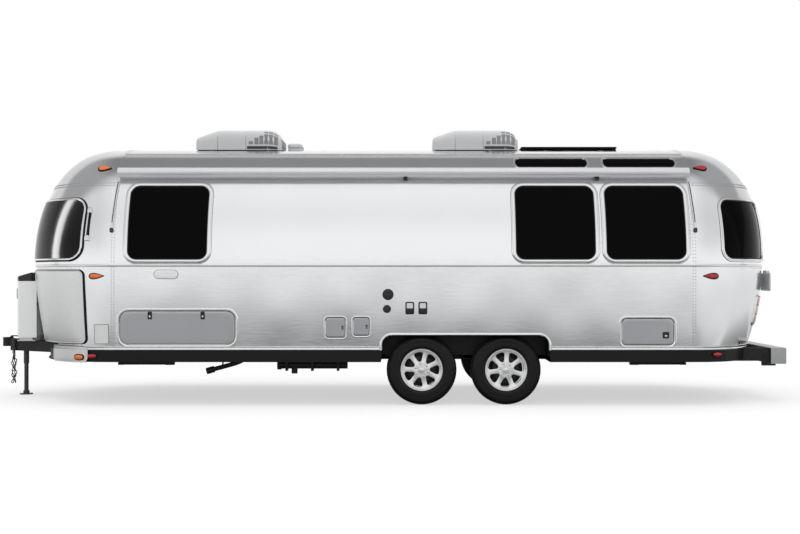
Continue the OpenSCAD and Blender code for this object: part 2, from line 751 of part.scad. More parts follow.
module plate_holder() placed() color("#3a3c3e") {
    skin(rear_form, between(low_rows, -210, -50), between(plan_cols, -23, -16), seat, 22);
    difference() {
        box([plate_x, plate_y - 165, 1185], [plate_x + 5, plate_y + 165, 1360]);
        for (dy = [-89, 89], z = [1213, 1334])
            translate([plate_x - 1, plate_y + dy, z]) rotate([0, 90, 0]) cylinder(h = 8, r = plate_bolt_r);
    }
    box([plate_x, plate_y - 60, 1360], [plate_x + 38, plate_y + 60, 1397]);
}

module wall_disc(x, z, r, proud) translate([x, half_w, z]) rotate([-90, 0, 0]) cylinder(h = proud, r = r);

// Inlets, the blank badge plate, the grab handle and the fixed leaves of the hinges
module wall_fittings() placed() color("#2c2e31") {
    on_side(left) {
        wall_disc(-159, 1146, 58, 12);
        wall_disc(-170, 997, 42, 10);
        box([-20, half_w, 940], [112, half_w + 10, 1072]);
        box([152, half_w, 940], [246, half_w + 10, 1072]);
        along_y(half_w, half_w + 4) round_rect(-2566, 1306, 250, 92, 45);
        on_lower_edge(locker_lid) strip_hinge(locker_w - 2 * locker_lid[4], 0);
        for (lid = [rear_lid, service_front, service_rear])
            on_front_edge(lid) strip_hinge(upright_length(lid), 0);
    }
    for (z = [1010, 1400])
        box([door_x + door_w + 75, half_w, z], [door_x + door_w + 115, half_w + 58, z + 22]);
    translate([door_x + door_w + 95, half_w + 58, 1010]) cylinder(h = 412, r = 14);
    for (z = hinge_zs) {
        box([door_x - door_gap - 44, half_w, z], [door_x - door_gap - 24, half_w + 5, z + 67]);
        hinge_knuckle(z, 0);
        hinge_knuckle(z + 2 * knuckle_pitch, 0);
    }
}

hinge_zs = [740, 1010, 1290];
knuckle_h = 22;
knuckle_pitch = knuckle_h + 0.5;
door_hinge_x = door_x - door_gap / 2 - 4;

// One barrel of a door hinge with its tab to the wall (leaf 0) or to the door (leaf 1)
module hinge_knuckle(z, leaf) {
    x = leaf == 0 ? [door_x - door_gap - 40, door_hinge_x] : [door_hinge_x, door_x + 30];
    translate([door_hinge_x, door_hinge_y, z]) cylinder(h = knuckle_h, r = 6.5);
    box([x[0], half_w + 6.6, z], [x[1], half_w + 9, z + knuckle_h]);
    if (leaf == 0) box([x[0], half_w, z], [x[0] + 20, half_w + 9, z + knuckle_h]);
}

// Five-sided tray behind a lid
module tray(lid, depth, z0) {
    t = 8;
    y1 = half_w - wall_t;
    x = [lid[0] - lid_gap - t, lid[0] + lid[2] + lid_gap + t];
    z = [z0, lid[1] + lid[3] + lid_gap + t];
    difference() {
        box([x[0], y1 - depth, z[0]], [x[1], y1, z[1]]);
        box([x[0] + t, y1 - depth + t, z[0] + t], [x[1] - t, y1 + 1, z[1] - t]);
    }
}

module lockers() placed() color("#8d9094") on_side(left) {
    tray(locker_lid, locker_depth, floor_z);
    tray(rear_lid, 380, floor_z);
    tray(service_front, tray_depth, service_front[1] - lid_gap - 8);
    tray(service_rear, tray_depth, service_rear[1] - lid_gap - 8);
}

// ---- cabin -------------------------------------------------------------------------

bed_x = [1700, 3560];
bed_half_w = 740;
bed_z = 1040;

module bed_mattress() placed() color("#eeeae0")
    box([bed_x[0] + 10, 10 - bed_half_w, bed_z], [bed_x[1] - 10, bed_half_w - 10, bed_z + 190]);

module cabin_furniture() placed() color("#c9b28c") {
    bench_x = 8 - half_straight;
    box([bed_x[0], -bed_half_w, floor_z], [bed_x[1], bed_half_w, bed_z]);
    on_side(left) {
        back_y = half_w - wall_t - tray_depth - 8;
        box([-1250, 640, well_z + well_t], [1050, back_y, 1420]);
        box([-1270, 610, 1420], [1070, half_w - wall_t - 4, 1458]);
        box([-1250, 640, floor_z], [-420, back_y, well_z + well_t]);
        box([bench_x, 620, 1010], [-1760, half_w - wall_t - seat, 1120]);
    }
    box([bench_x, 620, floor_z], [-2000, half_w - wall_t - 14, 1120]);
    box([550, 560, well_z + well_t], [1180, half_w - wall_t - 260, 2200]);
    translate([-2640, 0, floor_z]) cylinder(h = 690, r = 45);
    box([-3150, -380, floor_z + 690], [-2130, 380, floor_z + 720]);
}

// ---- hitch -------------------------------------------------------------------------

module gas_cylinders() placed() color("#e8e8e6") {
    difference() {
        box([gas_x - 100, 6 - gas_half_w, deck_z - 6], [gas_x + 100, gas_half_w - 6, deck_z + 4]);
        box([jack_plate_x0, -jack_plate_y, deck_z - 7], [jack_plate_x1, jack_plate_y, deck_z + 5]);
    }
    for (side = [left, right]) on_side(side)
        box([gas_x - 70, gas_half_w - 12, deck_z], [gas_x + 70, gas_half_w - 6, gas_z0 + 50]);
    for (y = [-gas_y, gas_y]) translate([gas_x, y, 0]) {
        translate([0, 0, deck_z + 4]) cylinder(h = 26, r = cylinder_r - 20);
        translate([0, 0, deck_z + 30]) rotate_extrude() polygon([
            [0, 0], [cylinder_r - 14, 0], [cylinder_r, 24], [cylinder_r, 300], [cylinder_r - 26, 348],
            [40, 374], [0, 374],
        ]);
        translate([0, 0, deck_z + 400]) cylinder(h = 74, r = 24);
    }
}

// Plan of the gas cover: a bowed front, straight sides and an open back
bow_rise = gas_corner - gas_front;
bow_r = (gas_half_w * gas_half_w + bow_rise * bow_rise) / (2 * bow_rise);
bow_deg = asin(gas_half_w / bow_r);
gas_back = nose_x + 46;

function gas_plan(in) = concat(
    [[gas_back, gas_half_w - in]],
    [for (k = [8:-1:-8]) [gas_front + bow_r - (bow_r - in) * cos(bow_deg * k / 8),
        (gas_half_w - in) * sin(bow_deg * k / 8) / sin(bow_deg)]],
    [[gas_back, in - gas_half_w]]
);

module gas_cover() placed() color("#eceded") {
    gas_shell();
    for (y = [-80, 30]) {
        translate([gas_hinge[0], y, gas_hinge[1]]) rotate([-90, 0, 0]) cylinder(h = 50, r = gas_pin_r);
        box([gas_hinge[0] - gas_pin_r, y, gas_z1 - 30], [gas_hinge[0], y + 50, gas_hinge[1]]);
        box([gas_hinge[0] - gas_pin_r, y, gas_z1 - 30], [gas_front + 6, y + 50, gas_z1 - 4]);
    }
}

module gas_shell() difference() {
    translate([0, 0, gas_z0]) linear_extrude(gas_z1 - gas_z0) polygon(gas_plan(0));
    translate([0, 0, gas_z0 - 1]) linear_extrude(gas_z1 - gas_z0 + 2) polygon(gas_plan(6));
    box([gas_back - 6, -gas_half_w, gas_z0 - 1], [gas_back + 1, gas_half_w, gas_z1 + 1]);
    box([gas_front - 10, -72, gas_z0 - 1], [jack_x + 60, 72, 1210]);
}

gas_lid_back = nose_x - 20;
gas_hinge = [gas_front - 5, gas_z1 + 7];
gas_pin_r = 4;

// Side view of the sloping lid, drawn in by the given amount
module gas_lid_side(in) along_y(-gas_half_w, gas_half_w) polygon([
    [gas_front - 1, gas_z1 + seat - in], [gas_front - 1, gas_z1 + 26 - in],
    [gas_lid_back - in, gas_z1 + 95 - in], [gas_lid_back - in, gas_z1 + seat - in],
]);

module gas_cover_lid() placed() color("#1a1b1d") {
    difference() {
        intersection() {
            translate([0, 0, gas_z1]) linear_extrude(200) polygon(gas_plan(0));
            gas_lid_side(0);
        }
        intersection() {
            translate([0, 0, gas_z1 - 20]) linear_extrude(200) polygon(gas_plan(6));
            gas_lid_side(6);
        }
    }
    gas_knuckle(-29.5, 29.5);
}

// A length of the gas cover's hinge barrel with its tab back to the bowed front
module gas_knuckle(y0, y1) {
    translate([gas_hinge[0], y0, gas_hinge[1]]) rotate([-90, 0, 0]) cylinder(h = y1 - y0, r = gas_pin_r);
    box([gas_hinge[0], y0, gas_hinge[1] - 2], [gas_front + 2, y1, gas_hinge[1] + 2]);
}

jack_tube_z0 = 350;

module jack_post() placed() color("#1e1f21") translate([jack_x, 0, 0]) {
    difference() {
        union() {
            translate([0, 0, jack_tube_z0]) cylinder(h = 1080 - jack_tube_z0, r = jack_leg_r + 6);
            translate([0, 0, deck_z + 4]) cylinder(h = 10, r = 62);
        }
        translate([0, 0, jack_tube_z0 - 1]) cylinder(h = 1060 - jack_tube_z0, r = jack_leg_r + 0.1);
    }
    box([-92, -55, 1080], [52, 55, 1195]);
}

module jack_leg() placed() color("#9a9da1") translate([jack_x, 0, 0]) {
    translate([0, 0, 30]) cylinder(h = 700, r = jack_leg_r);
    translate([0, 0, 12]) cylinder(h = 30, r = 34);
    cylinder(h = 12, r = 72);
}

// Folded stabiliser: its foot lies end_dir along the rail from the pivot
module stabiliser(x, y, end_dir) placed() color("#232427") translate([x, y, leg_z]) {
    rotate([90, 0, 0]) cylinder(h = 72, r = pin_r, center = true);
    mirror([end_dir < 0 ? 1 : 0, 0, 0]) {
        along_y(-20, 20) {
            circle(20);
            translate([0, -20]) square([leg_l - 60, 34]);
        }
        box([leg_l - 61, -45, -20], [leg_l, 45, 6]);
    }
}

module stabiliser_front_left() stabiliser(leg_front_x, -rail_y, -1);
module stabiliser_front_right() stabiliser(leg_front_x, rail_y, -1);
module stabiliser_rear_left() stabiliser(leg_rear_x, -rail_y, 1);
module stabiliser_rear_right() stabiliser(leg_rear_x, rail_y, 1);

// ---- wheels ------------------------------------------------------------------------

bead_r = rim_r - 15;
bead_w = tyre_w / 2 - 20;

module tyre(x, side) placed() color("#1a1a1b")
    on_side(side) translate([x, (tyre_y0 + tyre_y1) / 2, tyre_r]) rotate([-90, 0, 0])
        rotate_extrude() {
            w = tyre_w / 2;
            half = [
                [bead_r, bead_w], [rim_r + 5, bead_w], [rim_r + 15, w - 12], [rim_r + 34, w - 4],
                [rim_r + 66, w], [rim_r + 96, w - 4], [tyre_r - 26, w - 10], [tyre_r - 12, w - 20],
                [tyre_r - 3, w - 42], [tyre_r, w - 66],
            ];
            polygon(concat(half, [for (k = [len(half) - 1:-1:0]) [half[k][0], -half[k][1]]]));
        }

// Alloy wheel with its hub and drum, drawn with its outer face up
module alloy_wheel() {
    lip = bead_w + 9;
    difference() {
        union() {
            rotate_extrude() {
                polygon([
                    [bead_r - 6, -lip], [rim_r, -lip], [rim_r, -bead_w - seat],
                    [bead_r - seat, -bead_w - seat], [bead_r - seat, 24 - bead_w], [bead_r - 22, 40 - bead_w],
                    [bead_r - 22, bead_w - 40], [bead_r - seat, bead_w - 24], [bead_r - seat, bead_w + seat],
                    [rim_r, bead_w + seat], [rim_r, lip], [bead_r - 6, lip],
                    [bead_r - 30, bead_w - 34], [bead_r - 30, 34 - bead_w],
                ]);
            }
            translate([0, 0, bead_w - 60]) cylinder(h = 42, r = 82);
            for (k = [0:spoke_count - 1]) rotate(k * 360 / spoke_count)
                translate([60, -24, bead_w - 54]) cube([bead_r - 86, 48, 30]);
            translate([0, 0, bead_w - 19]) cylinder(h = 30, r1 = 42, r2 = 34);
            for (k = [0:5]) rotate(k * 60 + 30) translate([62, 0, bead_w - 19]) cylinder(h = 16, r = 11);
            translate([0, 0, -bead_w + 2]) cylinder(h = 60, r = 125);
            translate([0, 0, 50 - bead_w]) cylinder(h = 2 * bead_w - 100, r = 60);
        }
        translate([0, 0, -tyre_w]) cylinder(h = tyre_w + bead_w - 20, r = spindle_r + 0.08);
    }
}

module wheel(x, side) placed() color("#c2c5c8")
    on_side(side) translate([x, (tyre_y0 + tyre_y1) / 2, tyre_r]) rotate([-90, 0, 0]) alloy_wheel();

module wheel_front_left() wheel(wheel_xs[0], left);
module wheel_front_right() wheel(wheel_xs[0], right);
module wheel_rear_left() wheel(wheel_xs[1], left);
module wheel_rear_right() wheel(wheel_xs[1], right);
module tyre_front_left() tyre(wheel_xs[0], left);
module tyre_front_right() tyre(wheel_xs[0], right);
module tyre_rear_left() tyre(wheel_xs[1], left);
module tyre_rear_right() tyre(wheel_xs[1], right);

// ---- door, step and lids -------------------------------------------------------------

door_pane_w = 420;
door_pane_x = door_x + door_w / 2 - 10;
door_pane_z = [1530, 2120];
leaf_skin = 8;
leaf_taper = 26;

module door_profile(d0, d1, x1) along_x(door_x - 50, x1) polygon(band(wall_deg, d0, d1, sill_z));

module entry_door() placed() {
    color("#cfd2d5") {
        difference() {
            union() {
                intersection() {
                    door_profile(-leaf_skin, 0, door_x + door_w + 50);
                    door_cut(0);
                }
                intersection() {
                    door_profile(-wall_t, -leaf_skin, door_x + door_w - leaf_taper);
                    door_cut(0);
                }
            }
            window_cut(door_pane_x, door_pane_w, door_pane_z[0], door_pane_z[1], 70);
        }
        intersection() {
            along_x(door_x, door_x + door_w) polygon(band(between(wall_deg, 0, 35), 0, 9));
            difference() {
                window_cut(door_pane_x, door_pane_w + 60, door_pane_z[0] - 30, door_pane_z[1] + 30, 96);
                window_cut(door_pane_x, door_pane_w, door_pane_z[0], door_pane_z[1], 70);
            }
        }
        box([door_x + 14, half_w - 1, belt_z - belt_h], [door_x + door_w - 14, half_w + 8, belt_z]);
    }
    color("#3b3d40") {
        box([door_x + door_w - 150, half_w - 1, 1260], [door_x + door_w - 50, half_w + 16, 1350]);
        box([door_x + door_w - 120, half_w - 1, 1180], [door_x + door_w - 80, half_w + 10, 1230]);
        for (z = hinge_zs) {
            hinge_knuckle(z + knuckle_pitch, 1);
            box([door_x + 6, half_w - 1, z + knuckle_pitch],
                [door_x + 30, half_w + 9, z + knuckle_pitch + knuckle_h]);
        }
    }
}

module door_glass() placed() color("#23272b", 0.6) intersection() {
    along_x(door_x, door_x + door_w) polygon(band(between(wall_deg, 0, 35), -4 - glass_t, -4));
    window_cut(door_pane_x, door_pane_w - 1, door_pane_z[0] + 0.5, door_pane_z[1] - 0.5, 70);
}

module entry_step() placed() color("#34363a") {
    z = belly_z - 46;
    x = [door_x + 80, door_x + door_w - 80];
    box([x[0], half_w - 330, z - 26], [x[1], half_w - 70, z]);
    for (rx = [x[0] - 9.5, x[1] - 20.5]) box([rx, 700, z], [rx + 30, half_w - 90, z + 30]);
}

// A lid with its latches; positions are from the lid's lower front corner
module lid_panel(lid) along_y(half_w - lid_t, half_w) round_rect(lid[0], lid[1], lid[2], lid[3], lid[4]);

// Strip hinge of a lid along +X from the origin: leaf 0 is fixed below the pin, leaf 1 on the lid above it
module strip_hinge(length, leaf) {
    edge = lid_gap / 2;
    ends = length / 4;
    for (x = leaf == 0 ? [0, length - ends + 0.5] : [ends]) {
        l = leaf == 0 ? ends - 0.5 : length - 2 * ends;
        translate([x, half_w + lid_hinge, 0]) rotate([0, 90, 0]) cylinder(h = l, r = lid_pin_r);
        z = leaf == 0 ? [-edge - 12, -1] : [1, edge + 12];
        box([x, half_w + lid_hinge - 3, z[0]], [x + l, half_w + lid_hinge, z[1]]);
        z_foot = leaf == 0 ? [-edge - 12, -edge - 1] : [edge + 1, edge + 12];
        box([x, half_w, z_foot[0]], [x + l, half_w + lid_hinge - 2, z_foot[1]]);
    }
}

// Where a lid's hinge sits: along its lower edge, or upright along its front edge
module on_lower_edge(lid) translate([lid[0] + lid[4], 0, lid[1] - lid_gap / 2]) children();

module on_front_edge(lid) translate([lid[0] - lid_gap / 2, 0, lid[1] + lid[4] + upright_length(lid)])
    rotate([0, 90, 0]) children();

function upright_length(lid) = lid[3] - 2 * lid[4];

module latch(x, z, w, h) box([x - w / 2, half_w - 1, z - h / 2], [x + w / 2, half_w + 9, z + h / 2]);

module front_locker_lid() placed() color("#c9ccd0") on_side(left) {
    lid_panel(locker_lid);
    for (k = [0.26, 0.72]) latch(locker_lid[0] + k * locker_w, locker_z + locker_h - 82, 46, 80);
    on_lower_edge(locker_lid) strip_hinge(locker_w - 2 * locker_lid[4], 1);
}

module rear_locker_lid() placed() color("#c9ccd0") on_side(left) {
    lid_panel(rear_lid);
    latch(rear_lid[0] + rear_lid_w - 92, rear_lid[1] + 82, 44, 44);
    on_front_edge(rear_lid) strip_hinge(upright_length(rear_lid), 1);
}

module service_lid(lid) on_side(left) {
    lid_panel(lid);
    latch(lid[0] + lid[2] - 24, lid[1] + lid[3] / 2, 20, 40);
    on_front_edge(lid) strip_hinge(upright_length(lid), 1);
}

module service_lid_front() placed() color("#d2d4d6") service_lid(service_front);
module service_lid_rear() placed() color("#d2d4d6") service_lid(service_rear);

chassis_rails();
chassis_crossmembers();
drawbar();
coupler();
safety_chain();
floor_deck();
belly_pan();
wheel_wells();
axles();
underbody_fittings();
bumper();
lower_wall_left();
lower_wall_right();
upper_wall_left();
upper_wall_right();
roof_panel();
front_cap_upper();
front_cap_lower();
rear_cap_upper();
rear_cap_lower();
trim_strips();
window_frames();
window_glass();
window_guard();
stone_guards();
awnings();
air_conditioners();
roof_fittings();
tail_lamps();
amber_markers();
plate_holder();
wall_fittings();
lockers();
cabin_furniture();
bed_mattress();
gas_cylinders();
gas_cover();
gas_cover_lid();
jack_post();
jack_leg();
stabiliser_front_left();
stabiliser_front_right();
stabiliser_rear_left();
stabiliser_rear_right();
wheel_front_left();
wheel_front_right();
wheel_rear_left();
wheel_rear_right();
tyre_front_left();
tyre_front_right();
tyre_rear_left();
tyre_rear_right();
entry_door();
door_glass();
entry_step();
front_locker_lid();
rear_locker_lid();
service_lid_front();
service_lid_rear();
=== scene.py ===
"""Twin-axle travel caravan with a riveted aluminium shell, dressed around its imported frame."""

import bpy
import numpy as np
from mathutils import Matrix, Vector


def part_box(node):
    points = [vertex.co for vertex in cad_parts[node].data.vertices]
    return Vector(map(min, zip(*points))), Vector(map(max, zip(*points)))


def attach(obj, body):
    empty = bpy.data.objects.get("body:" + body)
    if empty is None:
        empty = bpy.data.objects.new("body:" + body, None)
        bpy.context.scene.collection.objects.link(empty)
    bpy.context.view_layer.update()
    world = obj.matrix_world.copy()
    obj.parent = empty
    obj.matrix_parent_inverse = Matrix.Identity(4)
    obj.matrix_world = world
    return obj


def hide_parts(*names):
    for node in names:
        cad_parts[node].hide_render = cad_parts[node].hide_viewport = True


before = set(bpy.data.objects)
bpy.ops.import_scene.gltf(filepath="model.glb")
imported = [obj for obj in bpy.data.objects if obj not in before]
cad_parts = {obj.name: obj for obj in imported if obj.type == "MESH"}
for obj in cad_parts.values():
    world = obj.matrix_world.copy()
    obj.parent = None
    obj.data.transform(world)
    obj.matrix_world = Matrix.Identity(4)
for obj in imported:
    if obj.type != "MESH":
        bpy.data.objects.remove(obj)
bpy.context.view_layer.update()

# ---- chassis and running gear ----------------------------------------------------------
# Welded steel rails, cross members, drawbar, axles and stabilisers in black chassis paint,
# with the folded belly pan, the wheel wells and the plywood deck that they carry.


def finish(name, colour, rough, metal=0.0, mottle=0.05, size=6, bump=0.05, grain=None, grit=0.15, coat=0.0,
           specular=0.5, bump_size=0.004):
    """A material from two noises on Object coordinates: a broad one varies the colour and gloss by mottle and grit,
    and a fine one, stretched by grain (one scale, or one for each axis), is the surface's own relief."""
    material = bpy.data.materials.new(name)
    material.use_nodes = True
    nodes, links = material.node_tree.nodes, material.node_tree.links
    shader = nodes["Principled BSDF"]
    shader.inputs["Metallic"].default_value = metal
    shader.inputs["Coat Weight"].default_value = coat
    shader.inputs["Coat Roughness"].default_value = 0.08
    shader.inputs["Specular IOR Level"].default_value = specular
    place = nodes.new("ShaderNodeTexCoord")

    def noise(scale, detail):
        spread = nodes.new("ShaderNodeMapping")
        spread.inputs["Scale"].default_value = [*np.broadcast_to(scale, 3) * 1.0]
        cloud = nodes.new("ShaderNodeTexNoise")
        cloud.inputs["Scale"].default_value = 1.0
        cloud.inputs["Detail"].default_value = detail
        links.new(place.outputs["Object"], spread.inputs["Vector"])
        links.new(spread.outputs["Vector"], cloud.inputs["Vector"])
        return cloud.outputs["Fac"]

    broad = noise(size, 3)
    fine = noise(grain or np.multiply(size, 30), 4)
    tint = nodes.new("ShaderNodeMix")
    tint.data_type = "RGBA"
    tint.inputs["A"].default_value = (*[c * (1 - mottle) for c in colour], 1)
    tint.inputs["B"].default_value = (*[min(1, c * (1 + mottle)) for c in colour], 1)
    links.new(broad, tint.inputs["Factor"])
    links.new(tint.outputs["Result"], shader.inputs["Base Color"])
    gloss = nodes.new("ShaderNodeMapRange")
    gloss.inputs["From Min"].default_value = 0.3
    gloss.inputs["From Max"].default_value = 0.7
    gloss.inputs["To Min"].default_value = rough * (1 - grit)
    gloss.inputs["To Max"].default_value = rough * (1 + grit)
    links.new(fine, gloss.inputs["Value"])
    links.new(gloss.outputs["Result"], shader.inputs["Roughness"])
    relief = nodes.new("ShaderNodeBump")
    relief.inputs["Strength"].default_value = bump
    relief.inputs["Distance"].default_value = bump_size
    links.new(fine, relief.inputs["Height"])
    links.new(relief.outputs["Normal"], shader.inputs["Normal"])
    return material


def paint(material, *names):
    """Gives the CAD nodes one material."""
    for name in names:
        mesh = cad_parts[name].data
        mesh.materials.clear()
        mesh.materials.append(material)


chassis_black = finish("chassis_black", (0.014, 0.0145, 0.015), 0.42, mottle=0.35, size=3, grain=90,
                       bump=0.2, specular=0.3)
belly_black = finish("belly_black", (0.006, 0.0065, 0.007), 0.36, mottle=0.3, size=1, grain=(14, 14, 40),
                     bump=0.12, specular=0.25)
deck_ply = finish("deck_ply", (0.36, 0.26, 0.15), 0.6, mottle=0.25, size=(0.8, 6, 6), grain=(8, 150, 150), bump=0.2)
stabilisers = ["stabiliser_" + end + side for end in ("front", "rear") for side in ("_left", "_right")]
paint(chassis_black, "chassis_rails", "chassis_crossmembers", "drawbar", "axles", "underbody_fittings", "entry_step",
      *stabilisers)
paint(belly_black, "belly_pan", "wheel_wells")
paint(deck_ply, "floor_deck")

# ---- lower side walls ----------------------------------------------------------------
# Flat aluminium sheets from the bright lower rail up to the belt line, riveted to the ribs
# and cut for the wheel arches, the locker lids and the entry door.

wall_lo, wall_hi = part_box("lower_wall_left")
mid_x = (wall_lo.x + wall_hi.x) / 2
half_straight = (wall_hi.x - wall_lo.x) / 2
half_w = -wall_lo.y
wall_t = wall_hi.y - wall_lo.y
sill_z, belt_z = wall_lo.z, wall_hi.z


def as_faces(points, rows_close=False, cols_close=False):
    """Quads between neighbours of a grid of points; a closed direction joins its last line to its first."""
    n_rows, n_cols = points.shape[:2]
    index = np.arange(n_rows * n_cols).reshape(n_rows, n_cols)
    if rows_close:
        index = np.vstack([index, index[:1]])
    if cols_close:
        index = np.hstack([index, index[:, :1]])
    corners = [index[:-1, :-1], index[1:, :-1], index[1:, 1:], index[:-1, 1:]]
    return points.reshape(-1, 3), np.stack(corners, -1).reshape(-1, 4)


def sheet_of(outer, inner, keep=None, cols_close=False):
    """A closed skin: the outer grid, the inner grid turned round, and rim quads round the kept cells."""
    n_rows, n_cols = outer.shape[:2]
    index = np.arange(n_rows * n_cols).reshape(n_rows, n_cols)
    if cols_close:
        index = np.hstack([index, index[:, :1]])
    if keep is None:
        keep = np.ones((index.shape[0] - 1, index.shape[1] - 1), bool)
    a, b, c, d = index[:-1, :-1], index[1:, :-1], index[1:, 1:], index[:-1, 1:]
    under = n_rows * n_cols
    around = np.pad(keep, 1)
    if cols_close:
        around[:, 0], around[:, -1] = around[:, -2], around[:, 1]
    faces = [np.stack([a, b, c, d], -1)[keep], np.stack([a, d, c, b], -1)[keep] + under]
    for p, q, beyond in (
        (d, a, around[:-2, 1:-1]), (a, b, around[1:-1, :-2]),
        (b, c, around[2:, 1:-1]), (c, d, around[1:-1, 2:]),
    ):
        edge = keep & ~beyond
        faces.append(np.stack([q, p, p + under, q + under], -1)[edge])
    return np.concatenate([outer.reshape(-1, 3), inner.reshape(-1, 3)]), np.concatenate(faces)


def outward(verts, faces):
    """The same faces, turned round when the closed shape that they make has a negative volume."""
    p, q, r, s = (verts[faces[:, k]] for k in range(4))
    volume = (np.cross(p, q) * r).sum() + (np.cross(p, r) * s).sum()
    return faces if volume > 0 else faces[:, ::-1]


def build(name, parts, material, replaces=(), body="root", sharp=40):
    """One mesh piece from several (points, quads) solids, merged where points meet. It rides on the body, takes the
    given material and stands for (and hides) the nodes it replaces; edges sharper than the angle stay sharp."""
    verts, faces, start = [], [], 0
    for points, quads in parts:
        used, quads = np.unique(quads, return_inverse=True)
        points, quads = points[used], quads.reshape(-1, 4)
        _, first, same = np.unique(np.round(points, 6), axis=0, return_index=True, return_inverse=True)
        points, quads = points[first], same.ravel()[quads]
        quads = outward(points, quads)
        verts.append(points)
        faces.append(quads + start)
        start += len(points)
    verts, faces = np.concatenate(verts), np.concatenate(faces)
    doubled = (faces == np.roll(faces, -1, 1)).any(1)
    rows = faces[~doubled].tolist()
    for face in faces[doubled].tolist():
        corners = list(dict.fromkeys(face))
        if len(corners) > 2:
            rows.append(corners)
    mesh = bpy.data.meshes.new(name)
    mesh.from_pydata(verts.tolist(), [], rows)
    mesh.shade_smooth()
    mesh.set_sharp_from_angle(angle=np.radians(sharp))
    mesh.materials.append(material)
    thing = bpy.data.objects.new(name, mesh)
    bpy.context.scene.collection.objects.link(thing)
    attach(thing, body)
    if replaces:
        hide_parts(*replaces)
    return thing


shell_metal = finish("shell_metal", (0.86, 0.87, 0.885), 0.155, metal=1.0, mottle=0.02, size=(1.3, 1.3, 1.7),
                     grain=(9, 9, 60), bump=0.02, grit=0.12)


def rounded(u, v, hole):
    """Signed distance from (u, v) to a rounded rectangle (u0, v0, width, height, corner), and the way outwards."""
    u0, v0, w, h, r = hole
    du, dv = u - (u0 + w / 2), v - (v0 + h / 2)
    qu, qv = np.abs(du) - (w / 2 - r), np.abs(dv) - (h / 2 - r)
    out = np.hypot(np.maximum(qu, 0), np.maximum(qv, 0))
    corner = (qu > 0) & (qv > 0)
    safe = np.where(out > 0, out, 1)
    gu = np.where(corner, qu / safe, (qu >= qv) * 1.0) * np.sign(du)
    gv = np.where(corner, qv / safe, (qu < qv) * 1.0) * np.sign(dv)
    return out + np.minimum(np.maximum(qu, qv), 0) - r, gu, gv


def cut_grid(u, v, holes):
    """Grid of (u, v) with the cells inside the holes left out, and the points by each hole slid onto its outline."""
    u, v = np.meshgrid(u, v)
    keep = np.ones((u.shape[0] - 1, u.shape[1] - 1), bool)
    mid_u = (u[:-1, :-1] + u[1:, 1:]) / 2
    mid_v = (v[:-1, :-1] + v[1:, 1:]) / 2
    for hole in holes:
        gone = rounded(mid_u, mid_v, hole)[0] < 0
        keep &= ~gone
        near = np.pad(gone, 1)
        touched = near[:-1, :-1] | near[1:, :-1] | near[:-1, 1:] | near[1:, 1:]
        whole = near[:-1, :-1] & near[1:, :-1] & near[:-1, 1:] & near[1:, 1:]
        slide = touched & ~whole
        far, gu, gv = rounded(u, v, hole)
        u = np.where(slide, u - far * gu, u)
        v = np.where(slide, v - far * gv, v)
    return u, v, keep


def lines(low, high, step, edges=(), reach=0.03):
    """Grid lines from low to high about a step apart, with closer ones within reach of each edge."""
    near = [np.linspace(e - reach, e + reach, 7) for e in edges]
    every = np.concatenate([np.linspace(low, high, int(round((high - low) / step)) + 1), *near])
    every = np.unique(np.round(every[(every >= low) & (every <= high)], 4))
    close = np.concatenate([[True], np.diff(every) > 0.004])
    close[-1] = True
    return every[close]


def hole_lines(holes):
    """The u and the v of every hole's four edges."""
    return [e for h in holes for e in (h[0], h[0] + h[2])], [e for h in holes for e in (h[1], h[1] + h[3])]


def ripple(x, z):
    """Rolled sheet is never flat: the sum of three products of sines, in metres, always a little under the skin."""
    slow = np.sin(2.1 * x + 3.3 * z) * np.sin(1.3 * x - 4.7 * z + 1.0)
    quick = np.sin(9.7 * x + 1.1) * np.sin(7.9 * z + 0.4 * np.sin(3.1 * x))
    broad = np.sin(5.3 * x + 2.1 * np.sin(1.9 * z)) * np.sin(4.1 * z + 1.7 * x + 0.6)
    return -0.0018 + 0.0007 * slow + 0.0004 * quick + 0.0006 * broad


lid_gap = 0.006
arch_hole = (-0.221, 0.30, 1.716, 0.426, 0.1)
lid_holes = {
    "front_locker_lid": (-2.913, 0.634, 1.18, 0.338, 0.085),
    "rear_locker_lid": (2.246, 0.628, 0.528, 0.266, 0.045),
    "service_lid_front": (-0.797, 0.707, 0.194, 0.197, 0.025),
    "service_lid_rear": (-0.512, 0.727, 0.157, 0.177, 0.02),
}
door_hole = (-1.709, 0.659, 0.734, 1.660, 0.079)


def widened(hole, by):
    """The same rounded rectangle, larger by the given amount on every side."""
    u0, v0, w, h, r = hole
    return (u0 - by, v0 - by, w + 2 * by, h + 2 * by, r + by)


def flat_wall(side, x, z, d):
    """Point of the flat wall: x from the middle of the shell, z up, d outwards; side is -1 on the left."""
    return np.stack([mid_x + x, side * (half_w + d) + 0 * x, z + 0 * x], -1)


for side, word, holes in (
    (-1, "left", [arch_hole] + [widened(h, lid_gap) for h in lid_holes.values()]),
    (1, "right", [arch_hole, door_hole]),
):
    us, vs = hole_lines(holes)
    u, v, keep = cut_grid(lines(-half_straight, half_straight, 0.05, us), lines(sill_z, belt_z, 0.05, vs), holes)
    build("lower_skin_" + word, [sheet_of(flat_wall(side, u, v, ripple(u, v)), flat_wall(side, u, v, -wall_t), keep)],
          shell_metal, ["lower_wall_" + word])

# ---- upper side walls ----------------------------------------------------------------
# Sheets that roll inwards above the belt line on two tangent arcs, up to the gutter rail,
# with the openings for the side windows, the narrow roof windows and the door.

